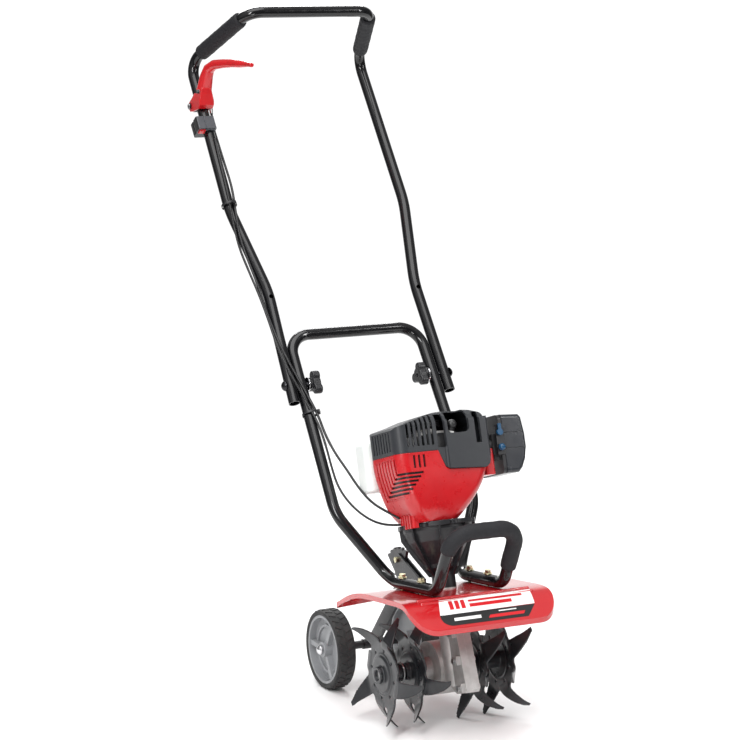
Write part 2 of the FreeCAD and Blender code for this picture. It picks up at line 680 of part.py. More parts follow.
# ---------------------------------------------------------------- worm drive
def worm_wheel():
    """A bronze wheel: each tooth is turned to the worm's lead angle."""
    lead = math.degrees(math.atan2(WORM_PITCH, 2 * math.pi * WORM_PITCH_R))
    root = WHEEL_PITCH_R - 2.6
    wheel = span(-7, 7, 0, 0, root)
    teeth = []
    for i in range(WHEEL_TEETH):
        base = [Vector(-6, -1.9, root - 1), Vector(6, -1.9, root - 1),
                Vector(6, 1.9, root - 1), Vector(-6, 1.9, root - 1)]
        crown = [Vector(-6, -0.8, WHEEL_PITCH_R + 1.9), Vector(6, -0.8, WHEEL_PITCH_R + 1.9),
                 Vector(6, 0.8, WHEEL_PITCH_R + 1.9), Vector(-6, 0.8, WHEEL_PITCH_R + 1.9)]
        tooth = Part.makeLoft([Part.makePolygon(base + base[:1]), Part.makePolygon(crown + crown[:1])],
                              True)
        tooth.rotate(O, Z, lead)
        tooth.rotate(O, X, i * 360.0 / WHEEL_TEETH + 90 - LEAN)
        teeth.append(tooth)
    wheel = wheel.multiFuse(teeth)
    wheel = wheel.fuse(span(-14, 14, 0, 0, 18)).cut(span(-30, 30, 0, 0, SHAFT_R))
    wheel.translate(Vector(0, 0, TINE_R))
    return wheel


def drive_shaft():
    """The upright shaft with the worm thread cut on it, in the column's frame."""
    core = WORM_PITCH_R - 2.9
    half = 20.0
    start = -half - WORM_PITCH
    helix = Part.makeHelix(WORM_PITCH, 2 * half + 2 * WORM_PITCH, core, 0)
    helix.translate(Vector(0, 0, start))
    profile = [Vector(core - 0.8, 0, -1.9), Vector(WORM_PITCH_R + 1.9, 0, -0.7),
               Vector(WORM_PITCH_R + 1.9, 0, 0.7), Vector(core - 0.8, 0, 1.9)]
    wire = Part.makePolygon(profile + profile[:1])
    wire.translate(Vector(0, 0, start))
    thread = Part.Wire(helix.Edges).makePipeShell([wire], True, True)
    thread.rotate(O, Z, WORM_TURN)
    thread = thread.common(Part.makeCylinder(30, 2 * half, Vector(0, 0, -half), Z))
    body = Part.makeCylinder(core, 2 * half + 4, Vector(0, 0, -half - 2), Z)
    lower = Part.makeCylinder(DRIVE_R, 34 - half, Vector(0, 0, -34), Z)
    upper = Part.makeCylinder(DRIVE_R, 228 - half, Vector(0, 0, half), Z)
    return fuse([body, thread, lower, upper])


def gear_case_body():
    """The closed gear case, before it is split along the middle plane."""
    column = Part.makeCylinder(22, 180, Vector(0, 0, -38), Z)
    flange = [(-47, 70), (-43, 74), (-10, 74), (0, 40), (0, -40), (-20, -52), (-54, -52), (-60, -46)]
    flange = plate_yz(flange, -14, 14)
    upright = on_column(column.fuse(flange))
    drum = span(-27, 27, 0, TINE_R, 50)
    bosses = span(-46, 46, 0, TINE_R, 21)
    return fuse([upright, drum, bosses])


def gear_case():
    worm_room = Part.makeCylinder(17, 48, Vector(0, 0, -24), Z)
    low_bore = Part.makeCylinder(9, 12, Vector(0, 0, -35), Z)
    tunnel = Part.makeCylinder(12, 200, Vector(0, 0, 20), Z)
    rooms = on_column(fuse([worm_room, low_bore, tunnel]))
    wheel_room = span(-15.5, 15.5, 0, TINE_R, 46)
    bore = span(-60, 60, 0, TINE_R, SHAFT_R + 2.5)
    body = gear_case_body().cut(rooms).cut(wheel_room).cut(bore)
    for v, s in CASE_BOLTS:
        body = body.cut(on_column(rod(0, v, s, 3.2, 60)))
    return body


CASE_BOLTS = ((-38, 58), (-43, 8), (-48, -42))


def gear_case_half(body, side):
    room = block(0, 80, -200, 200, 0, 400)
    half = body.common(room if side > 0 else mirrored(room))
    if side < 0:
        for v, s in CASE_BOLTS:
            pad = block(-22, -13.9, v - 8, v + 8, s - 8, s + 8)
            half = half.fuse(on_column(pad).cut(on_column(rod(0, v, s, 3.2, 80))))
        half = half.removeSplitter()
    return half


def gear_case_bolts():
    bolts = []
    for v, s in CASE_BOLTS:
        shank = span(-22, 18, v, s, 3.1)
        head = hexagon(-22, v, s, 10, 5, Vector(-1, 0, 0))
        nut = hexagon(14, v, s, 10, 4.5, X)
        bolts.append(on_column(fuse([shank, head, nut])))
    return Part.makeCompound(bolts)


def bearings():
    """Bushes for the tine shaft and three bushes for the drive shaft, one solid each."""
    rings = []
    for side in (-1, 1):
        a, b = (17, 46) if side > 0 else (-46, -17)
        rings.append(span(a, b, 0, TINE_R, SHAFT_R + 2.5).cut(span(-60, 60, 0, TINE_R, SHAFT_R + 0.05)))
    for s, height, r in ((-32, 8, 9), (60, 16, 12), (124, 16, 12), (196, 16, 12)):
        ring = Part.makeCylinder(r, height, Vector(0, 0, s), Z)
        bore = Part.makeCylinder(DRIVE_R + 0.05, height, Vector(0, 0, s), Z)
        rings.append(on_column(ring.cut(bore)))
    return Part.makeCompound(rings)


# ---------------------------------------------------------------- clutch and its housing
HOUSING_FOOT = 142.0


def revolved(points):
    """A solid of revolution about Z from (radius, height) points."""
    wire = Part.makePolygon([Vector(r, 0, z) for r, z in points + points[:1]])
    return Part.Face(wire).revolve(O, Z, 360)


def clutch_housing():
    """The black tapered neck, with ribs and a scalloped top flange."""
    outer = [(0, HOUSING_FOOT), (22, HOUSING_FOOT), (22, 172), (31, 180), (33, 188), (44, 206), (58, 230),
             (65, 250), (65, 256), (72, 256), (72, 264), (0, 264)]
    neck = revolved(outer)
    ribs = []
    for i in range(8):
        rib = plate_yz([(18, 165), (26, 165), (52, 206), (69, 236), (70, 257), (18, 257)], -1.8, 1.8)
        rib.rotate(O, Z, 45 * i + 22.5)
        ribs.append(rib)
    neck = fuse([neck] + ribs)
    for i in range(8):
        a = math.radians(45 * i)
        neck = neck.cut(rod(76 * math.cos(a), 76 * math.sin(a), 262, 9, 13, Z))
    room = [(0, 222), (46.5, 222), (46.5, 270), (0, 270)]
    neck = neck.cut(revolved(room)).cut(Part.makeCylinder(12, 100, Vector(0, 0, 130), Z))
    return neck


def clutch_drum():
    cup = revolved([(0, 226), (42, 226), (42, 258), (39.5, 258), (39.5, 230), (0, 230)])
    boss = Part.makeCylinder(10, 6, Vector(0, 0, 224), Z)
    return cup.fuse(boss).removeSplitter().cut(Part.makeCylinder(DRIVE_R, 4, Vector(0, 0, 224), Z))


def clutch_shoes():
    """Two sprung shoes on a carrier that is keyed to the crankshaft."""
    carrier = Part.makeCylinder(12.5, 14, Vector(0, 0, 238), Z)
    shoes = []
    for way in (-1, 1):
        shoe = Part.makeCylinder(38.4, 14, Vector(0, 0, 238), Z, 150)
        shoe.rotate(O, Z, 15 + (180 if way > 0 else 0))
        shoes.append(shoe.cut(Part.makeCylinder(20, 14, Vector(0, 0, 238), Z)))
        shoes.append(block(*((12, 22, -4, 4) if way > 0 else (-22, -12, -4, 4)), 241, 249))
    bridge = [s for i, s in enumerate(shoes) if i % 2]
    halves = [s for i, s in enumerate(shoes) if not i % 2]
    for h in halves:
        carrier = carrier.fuse(h)
    ring = Part.makeCylinder(22, 3, Vector(0, 0, 238), Z)
    carrier = fuse([carrier, ring] + bridge)
    return carrier.cut(Part.makeCylinder(CRANK_R, 40, Vector(0, 0, 230), Z))


# ---------------------------------------------------------------- engine
CRANK_R = 6.0
CYL_S = 393.0            # cylinder axis along the column
PISTON_R = 17.0
THROW = 12.0


def crankcase():
    case = rounded_box(-36, 36, -30, 34, 350, 430, 10)
    neck = Part.makeCylinder(22, 14, Vector(0, 0, 338), Z)
    cap = Part.makeCylinder(22, 6, Vector(0, 0, 430), Z)
    case = fuse([case, neck, cap])
    room = Part.makeCylinder(27, 44, Vector(0, 0, 371), Z)
    bore = Part.makeCylinder(CRANK_R + 0.05, 120, Vector(0, 0, 330), Z)
    throat = rod(0, -24, CYL_S, PISTON_R + 0.05, 20, Y)
    return case.cut(room).cut(bore).cut(throat)


def crankshaft():
    parts = [Part.makeCylinder(CRANK_R, 142, Vector(0, 0, 236), Z),
             Part.makeCylinder(CRANK_R, 40, Vector(0, 0, 408), Z)]
    for s in (376, 401):
        web = Part.makeCylinder(25, 8, Vector(0, 0, s), Z)
        trim = block(-30, -13, -30, 0, s, s + 8).fuse(block(13, 30, -30, 0, s, s + 8))
        parts.append(web.cut(trim))
    parts.append(Part.makeCylinder(5, 30, Vector(0, -THROW, 378), Z))
    return fuse(parts)


def connecting_rod():
    """Cut off short of the crank pin's circle, so that the crank can turn past it."""
    eye = rod(0, -46, CYL_S, 7, 10, Z)
    shank = block(-4, 4, -42, -18.5, CYL_S - 4, CYL_S + 4)
    return fuse([eye, shank]).cut(rod(0, -46, CYL_S, 4, 30, Z))


def piston():
    """The piston at the top of its stroke, with its gudgeon pin."""
    crown = rod(0, -47, CYL_S, PISTON_R, 22, Y)
    room = rod(0, -43, CYL_S, 13.5, 22, Y)
    body = crown.cut(room)
    for v in (-55, -52):
        ring = rod(0, v, CYL_S, 18, 1.2, Y).cut(rod(0, v, CYL_S, 16, 2, Y))
        body = body.cut(ring)
    pin = rod(0, -46, CYL_S, 4, 30, Z)
    return body.fuse(pin).removeSplitter()


def cylinder():
    """A finned barrel and head, with an exhaust stub at -X and an intake stub at +X."""
    barrel = rod(0, -49, CYL_S, 23, 38, Y)
    fins = [block(-30, 30, v, v + 2, CYL_S - 30, CYL_S + 30) for v in range(-68, -33, 5)]
    ports = [span(20, 60, -48, CYL_S, 11), span(-42, -20, -48, CYL_S, 11)]
    head = block(-24, 24, -70, -60, CYL_S - 24, CYL_S + 24)
    cyl = fuse([barrel, head] + fins + ports)
    cyl = cyl.cut(rod(0, -45, CYL_S, PISTON_R + 0.03, 34, Y))
    cyl = cyl.cut(span(16, 61, -48, CYL_S, 7)).cut(span(-43, -16, -48, CYL_S, 7))
    way = Vector(PLUG_WAY).normalize()
    cyl = cyl.cut(Part.makeCylinder(5, 20, PLUG_FOOT - way * 2, way))
    return cyl.cut(Part.makeCylinder(8.4, 60, PLUG_FOOT + way * 14, way))


PLUG_WAY = Vector(0.22, -0.2, 0.95)
PLUG_FOOT = Vector(16, -62, CYL_S + 12)


def spark_plug():
    way = Vector(PLUG_WAY).normalize()
    body = Part.makeCylinder(5, 14, PLUG_FOOT, way)
    nut = hexagon(0, 0, 0, 13, 5)
    nut.Placement = Placement(PLUG_FOOT + way * 16, Rotation(Z, way))
    neck = Part.makeCylinder(4, 20, PLUG_FOOT, way)
    top = Part.makeCylinder(3, 9, PLUG_FOOT + way * 19.5, way)
    return fuse([body, neck, nut, top])


def plug_boot():
    way = Vector(PLUG_WAY).normalize()
    foot = PLUG_FOOT + way * 21.2
    stem = Part.makeCylinder(6.5, 9, foot, way)
    ball = Part.makeSphere(9, foot + way * 12)
    boot = stem.fuse(ball).removeSplitter()
    return boot.cut(Part.makeCylinder(3, 8, foot - way * 0.5, way))


def muffler():
    body = rounded_box(-86, -43, -62, 6, 362, 420, 8)
    room = rounded_box(-84, -45, -60, 4, 364, 418, 6)
    inlet = span(-46, -42, -48, CYL_S, 7)
    tail = Part.makeCylinder(7, 8, Vector(-68, -28, 419), Z)
    return body.fuse(tail).cut(room).cut(inlet).cut(Part.makeCylinder(5, 20, Vector(-68, -28, 412), Z))


def flywheel():
    disc = Part.makeCylinder(41, 6, Vector(0, 0, 330), Z)
    hub = Part.makeCylinder(13, 20, Vector(0, 0, 316), Z)
    blades = []
    for i in range(12):
        blade = block(15, 39, -1, 1, 316, 331)
        blade.rotate(O, Z, 30 * i)
        blades.append(blade)
    wheel = fuse([disc, hub] + blades)
    return wheel.cut(Part.makeCylinder(CRANK_R, 40, Vector(0, 0, 310), Z))


def recoil_pulley():
    """The recoil starter's rope pulley, above the crankcase."""
    body = revolved([(7, 440), (30, 440), (30, 442), (25, 444), (25, 447), (30, 449), (30, 451), (7, 451)])
    rope = revolved([(25.1, 444.4), (29, 444), (29, 447), (25.1, 446.6)])
    return body.fuse(rope).removeSplitter().cut(Part.makeCylinder(CRANK_R + 0.05, 30, Vector(0, 0, 435), Z))


def starter_grip():
    """The pull grip behind the engine, with the knot end of its rope."""
    bar = Part.makeCylinder(7, 44, Vector(8, 64, 447), X)
    ends = [Part.makeSphere(7, Vector(x, 64, 447)) for x in (8, 52)]
    stem = Part.makeCone(6, 9, 13, Vector(30, 47.2, 447), Y)
    return fuse([bar, stem] + ends)


def plan(t):
    """The engine cowl's plan, inset by t, at the split line."""
    return -98 + t, 95 - t, -77 + t, 47 - t, 22 - t


def cowl_core(t):
    """The upper cowl's outer form inset by t, a common of three drawn profiles."""
    x0, x1, y0, y1, r = plan(t)
    prism = rounded_box(x0, x1, y0, y1, 350, 480, r)
    front = [(x0, 345), (x0, 436), (x0 + 6, 441), (-56, 450), (-34, 457 - t), (-8, 462 - t), (30, 465 - t),
             (58, 463 - t), (80, 455 - t), (x1 - 2, 440), (x1, 434), (x1, 345)]
    if t > 0:
        front = [(x, min(z, 466 - t) - (t if 430 < z < 452 else 0)) for x, z in front]
    wire = Part.makePolygon([Vector(x, -120, z) for x, z in front + front[:1]])
    across = Part.Face(wire).extrude(Vector(0, 220, 0))
    side = [(y0, 345), (y0, 443 - t), (y0 + 4, 453 - t), (y0 + 14, 461 - t), (y0 + 30, 465 - t),
            (10, 466 - t), (y1 - 20, 462 - t), (y1 - 6, 452 - t), (y1, 440 - t), (y1, 345)]
    along = plate_yz(side, -130, 130)
    return prism.common(across).common(along)


def top_shroud():
    """The black upper cowl with its window, slots, louvres and front apron."""
    outer = cowl_core(0)
    edge = plate_yz([(-130, 391.5), (130, 391.5), (130, 500), (-130, 500)], -130, 130)
    apron = [(-16, 391.6), (-3, 360), (4, 356), (78, 352), (86, 358), (91, 380), (91, 391.6)]
    apron_wire = Part.makePolygon([Vector(x, -84, z) for x, z in apron + apron[:1]])
    apron_prism = Part.Face(apron_wire).extrude(Vector(0, 20, 0))
    shell = outer.common(edge).cut(cowl_core(3))
    panel = rounded_box(-2, 92, -81, -60, 352, 470, 6).common(along_front())
    panel = panel.common(apron_prism.fuse(block(-2, 92, -84, -60, 391, 446)))
    panel = panel.cut(block(1, 89, -78, -50, 340, 480)).common(block(-10, 100, -90, -74.2, 340, 480))
    low = outer.common(apron_prism).cut(cowl_core(3))
    shroud = fuse([shell, low, panel])
    cuts = [block(-14, 2, -90, -40, 396, 457), block(64, 75, -90, -36, 398, 456)]
    window = rounded_box(8, 52, 420, 470, 0, 60, 8)
    window.rotate(O, X, 90)
    window.translate(Vector(0, -34, 0))
    cuts.append(window)
    for x in (-76, -66, -56, -46, -36, -26):
        cuts.append(block(x, x + 4.6, -90, -30, 402, 480))
    for v in (-50, -39, -28, -17, -6, 5, 16):
        cuts.append(block(-110, -88, v, v + 5, 398, 434))
    cuts.append(Part.makeCylinder(4.5, 60, Vector(30, 30, 447), Y))
    cuts.append(span(60, 120, -48, CYL_S, 11.3))
    for cutter in cuts:
        shroud = shroud.cut(cutter)
    return shroud


def along_front():
    """The sloping front limit of the raised centre panel."""
    return plate_yz([(-81, 345), (-81, 442), (-77, 452), (-60, 466), (-50, 466), (-50, 345)], -10, 100)


COWL_LEVELS = [
    (391, -98, 95, -77, 47, 22),
    (345, -95, 85, -76, 47, 22),
    (312, -87, 66, -74, 46, 22),
    (284, -75, 42, -68, 44, 22),
    (265, -58, 22, -60, 40, 20)]


def lower_cowl(t):
    wires = []
    for s, x0, x1, y0, y1, r in COWL_LEVELS:
        wires.append(rounded_rect(x0 + t, x1 - t, y0 + t, y1 - t, s, r - t))
    if t > 0:
        wires[0] = rounded_rect(-98 + t, 95 - t, -77 + t, 47 - t, 392, 22 - t)
    return Part.makeLoft(wires, True)


def lower_shroud():
    """The red lower cowl. It tapers to the clutch flange and has grouped louvres."""
    cowl = lower_cowl(0).cut(lower_cowl(3))
    floor = lower_cowl(0).common(block(-100, 100, -100, 100, 264, 268))
    ear = rounded_box(86, 106, -62, 10, 338, 386, 5).cut(block(80, 103, -59, 7, 341, 390))
    foot = rounded_box(-72, -44, -48, 6, 256, 292, 6)
    shroud = fuse([cowl, floor, ear.cut(lower_cowl(0.5)), foot])
    apron = [(-17, 395), (-3.6, 359.6), (3.6, 355.4), (78.4, 351.4), (86.6, 357.6), (91.6, 380), (91.6, 395)]
    wire = Part.makePolygon([Vector(x, -90, z) for x, z in apron + apron[:1]])
    shroud = shroud.cut(Part.Face(wire).extrude(Vector(0, 40, 0)))
    cuts = [Part.makeCylinder(48, 20, Vector(0, 0, 254), Z).fuse(block(-60, 60, -60, 60, 250, 264.5))]
    for i in range(7):
        v = -60 + 12 * i
        low = 352 - 7 * i
        cuts.append(block(-110, -70, v, v + 4.5, low, 383))
        cuts.append(block(-110, -50 - 6 * i, -90, v + 4.5, low, low + 4))
    for x in (-68, -58, -48):
        cuts.append(block(x, x + 4.5, -90, -60, 363, 386))
    for i in range(5):
        cuts.append(block(-74, -68, -44 + 10 * i, -40 + 10 * i, 250, 286))
    cuts.append(span(60, 120, -48, CYL_S, 11.3))
    for cutter in cuts:
        shroud = shroud.cut(cutter)
    drum_room = Part.makeCylinder(72.6, 12, Vector(0, 0, 252), Z)
    return shroud.cut(drum_room)


def fuel_tank():
    body = rounded_box(-100, 46, 52, 106, 334, 428, 14)
    body = body.makeFillet(8, [e for e in body.Edges if e.BoundBox.ZLength < 0.01])
    neck = Part.makeCylinder(13, 12, Vector(-50, 80, 424), Z)
    room = rounded_box(-98, 44, 54, 104, 336, 426, 12)
    room = room.makeFillet(6, [e for e in room.Edges if e.BoundBox.ZLength < 0.01])
    bore = Part.makeCylinder(10, 30, Vector(-50, 80, 415), Z)
    saddle = block(-60, 20, 47, 53, 370, 384)
    return fuse([body, neck, saddle.cut(lower_cowl(0))]).cut(room).cut(bore)


def fuel_cap():
    """A knurled screw cap that turns on the filler neck."""
    cap = Part.makeCylinder(19, 15, Vector(-50, 80, 431), Z)
    cap = cap.makeFillet(2, [e for e in cap.Edges if e.BoundBox.ZMin > 445])
    for i in range(18):
        a = math.radians(20 * i)
        cap = cap.cut(rod(-50 + 19.8 * math.cos(a), 80 + 19.8 * math.sin(a), 437, 1.6, 20, Z))
    return cap.cut(Part.makeCylinder(13.1, 6, Vector(-50, 80, 430.5), Z))


# ---------------------------------------------------------------- intake side
def carburettor():
    body = rounded_box(106.5, 126, -60, -30, 374, 412, 4)
    bowl = Part.makeCylinder(9, 12, Vector(116, -48, 363), Z)
    pipe = span(60, 107, -48, CYL_S, 11)
    carb = fuse([body, bowl, pipe])
    return carb.cut(span(50, 130, -48, CYL_S, 7))


def filter_base():
    """The black back plate of the air box, which also carries the primer and choke."""
    plate = rounded_rect(338, 448, -56, 42, 0, 10)
    slab = Part.Face(plate).extrude(Vector(0, 0, 7))
    slab.rotate(O, Y, -90)
    slab.translate(Vector(133.4, 0, 0))
    step = block(112, 128, -69, -61, 372, 428).cut(block(111, 126.2, -66, -60, 375, 425))
    wall = block(126.2, 128, -69, -50, 372, 428)
    seat = rod(119, -66.5, 386, 7.5, 5, Y)
    base = fuse([slab, step, wall, seat])
    base = base.cut(span(100, 140, -48, CYL_S, 7)).cut(rod(119, -66, 386, 5.05, 12, Y))
    return base.cut(rod(119, -69, 414, 3.05, 14, Y))


def filter_cover():
    """The dark air box lid: a deep rounded cup in three stepped bands."""
    outer = [(133.6, 338), (133.6, 448), (172, 446), (177, 440), (181, 410), (181, 384), (176, 362),
             (168, 346), (160, 338)]
    wire = Part.makePolygon([Vector(x, -57, s) for x, s in outer + outer[:1]])
    lid = Part.Face(wire).extrude(Vector(0, 100, 0))
    lid = lid.makeFillet(7, [e for e in lid.Edges if e.BoundBox.YLength < 0.01 and e.BoundBox.XMax > 134])
    room = [(133, 341), (133, 445), (170, 443), (174, 438), (178, 410), (178, 385), (173, 364), (166, 349),
            (159, 341)]
    wire = Part.makePolygon([Vector(x, -54, s) for x, s in room + room[:1]])
    lid = lid.cut(Part.Face(wire).extrude(Vector(0, 94, 0)))
    for s in (412, 383):
        lid = lid.cut(block(134.5, 185, -60, -56, s, s + 1.4).fuse(block(180, 184, -60, 60, s, s + 1.4)))
    return lid


def filter_element():
    return rounded_box(136, 160, -50, 36, 346, 438, 6)


def primer_bulb():
    """A soft bulb that the thumb presses in."""
    dome = Part.makeSphere(6.6, Vector(119, -73, 386))
    dome = dome.common(block(100, 130, -84, -72.4, 370, 400))
    stem = rod(119, -68.6, 386, 5.0, 9, Y)
    return dome.fuse(stem).removeSplitter()


def choke_lever():
    pin = rod(119, -68, 414, 3.0, 10, Y)
    blade = block(116, 122, -74.5, -71.5, 411, 430)
    disc = rod(119, -72, 414, 6, 5, Y)
    return fuse([pin, blade, disc])


# ---------------------------------------------------------------- build
def main():
    os.makedirs("parts", exist_ok=True)
    tube = upper_solid()
    loop = lower_solid()
    legs = lower_handle()
    save(upper_handle(), "upper_handle")
    save(legs, "lower_handle")
    save(handle_grips(tube), "handle_grips")
    save(front_grip(loop), "front_grip")
    save(Part.makeCompound(handle_bolts() + deck_bolts(legs) + bracket_bolts()), "frame_bolts")
    save(knob(), "knob_right")
    save(mirrored(knob()), "knob_left")
    save(lever_clamp(tube), "lever_clamp")
    save(throttle_lever(), "throttle_lever")
    save(switch_box(tube), "switch_box")
    save(switch_rocker(), "switch_rocker")
    cable = cord(THROTTLE_ROUTE, CABLE_R, "throttle_cable")
    lead = cord(LEAD_ROUTE, LEAD_R, "switch_lead")
    save(cable, "throttle_cable")
    save(lead, "switch_lead")
    save(cable_tie_upper().cut(cable).cut(lead), "cable_tie_upper")
    save(cable_tie_lower().cut(cable).cut(lead), "cable_tie_lower")
    column_tube = on_column(Part.makeCylinder(22, 60, Vector(0, 0, 120), Z))
    save(shield(column_tube), "shield")
    save(wheel_bracket(), "wheel_bracket")
    save(wheel_frame(), "wheel_frame")
    save(axle(), "axle")
    save(push_nuts(), "push_nuts")
    save(wheel_rim(), "wheel_right")
    save(mirrored(wheel_rim()), "wheel_left")
    save(tyre(), "tyre_right")
    save(mirrored(tyre()), "tyre_left")
    outer = star_tine(OUTER_TINE_X, 80, 134).cut(rod(CLIP_X, 0, TINE_R, 2.0, 40, Z))
    inner = star_tine(INNER_TINE_X, 47, 79)
    save(outer, "tine_outer_right")
    save(mirrored(outer), "tine_outer_left")
    save(inner, "tine_inner_right")
    save(mirrored(inner), "tine_inner_left")
    save(tine_shaft(), "tine_shaft")
    save(tine_clips(), "tine_clips")
    save(worm_wheel(), "worm_wheel")
    save(on_column(drive_shaft()), "drive_shaft")
    body = gear_case()
    save(gear_case_half(body, -1), "gear_case_left")
    save(gear_case_half(body, 1), "gear_case_right")
    save(gear_case_bolts(), "gear_case_bolts")
    save(bearings(), "bearings")
    for name, make in (("clutch_housing", clutch_housing), ("clutch_drum", clutch_drum),
                       ("clutch_shoes", clutch_shoes), ("crankcase", crankcase),
                       ("crankshaft", crankshaft), ("connecting_rod", connecting_rod),
                       ("piston", piston), ("cylinder", cylinder), ("spark_plug", spark_plug),
                       ("plug_boot", plug_boot), ("muffler", muffler), ("flywheel", flywheel),
                       ("recoil_pulley", recoil_pulley), ("starter_grip", starter_grip),
                       ("top_shroud", top_shroud), ("lower_shroud", lower_shroud),
                       ("fuel_tank", fuel_tank), ("fuel_cap", fuel_cap),
                       ("carburettor", carburettor), ("filter_base", filter_base),
                       ("filter_cover", filter_cover), ("filter_element", filter_element),
                       ("primer_bulb", primer_bulb), ("choke_lever", choke_lever)):
        save(on_column(make()), name)


main()
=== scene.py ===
import json
import math

import bmesh
import bpy
from mathutils import Matrix, Vector
from mathutils.bvhtree import BVHTree


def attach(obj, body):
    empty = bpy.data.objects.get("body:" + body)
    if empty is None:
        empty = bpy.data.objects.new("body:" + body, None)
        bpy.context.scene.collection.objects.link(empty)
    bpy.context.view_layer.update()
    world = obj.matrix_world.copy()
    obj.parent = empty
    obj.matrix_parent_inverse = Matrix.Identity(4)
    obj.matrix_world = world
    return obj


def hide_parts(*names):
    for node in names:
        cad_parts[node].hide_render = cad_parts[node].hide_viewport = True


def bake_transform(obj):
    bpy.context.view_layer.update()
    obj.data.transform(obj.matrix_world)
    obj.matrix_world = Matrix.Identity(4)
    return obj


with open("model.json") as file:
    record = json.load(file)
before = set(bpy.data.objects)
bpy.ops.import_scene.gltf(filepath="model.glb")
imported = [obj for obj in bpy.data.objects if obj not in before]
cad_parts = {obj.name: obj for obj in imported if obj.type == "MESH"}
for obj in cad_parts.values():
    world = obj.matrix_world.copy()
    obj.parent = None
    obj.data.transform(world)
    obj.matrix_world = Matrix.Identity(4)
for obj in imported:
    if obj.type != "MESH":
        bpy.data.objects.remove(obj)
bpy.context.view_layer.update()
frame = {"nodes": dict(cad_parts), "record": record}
nodes = frame["nodes"]
record = frame["record"]

Y_AXLE = -0.271                      # the tine axle's y in this frame
AXLE_HEIGHT = 104                    # mm above the ground
RING_R = 38                          # mm, the raised ring on a tine
LEVER_X = -188.2                     # mm, the trigger's middle plane
LEAN = math.radians(17)              # engine column
COLUMN_FOOT = Vector((0, Y_AXLE - 0.056 * math.cos(LEAN), AXLE_HEIGHT / 1000 + 0.056 * math.sin(LEAN)))
COLUMN = Matrix.Translation(COLUMN_FOOT) @ Matrix.Rotation(-LEAN, 4, "X")


def at(x, y, z):
    """A point given in mm from the tine axle's ground point."""
    return Vector((x / 1000, y / 1000 + Y_AXLE, z / 1000))


def on_column(x, v, s):
    """A point given in mm in the engine column's own frame."""
    return COLUMN @ Vector((x / 1000, v / 1000, s / 1000))


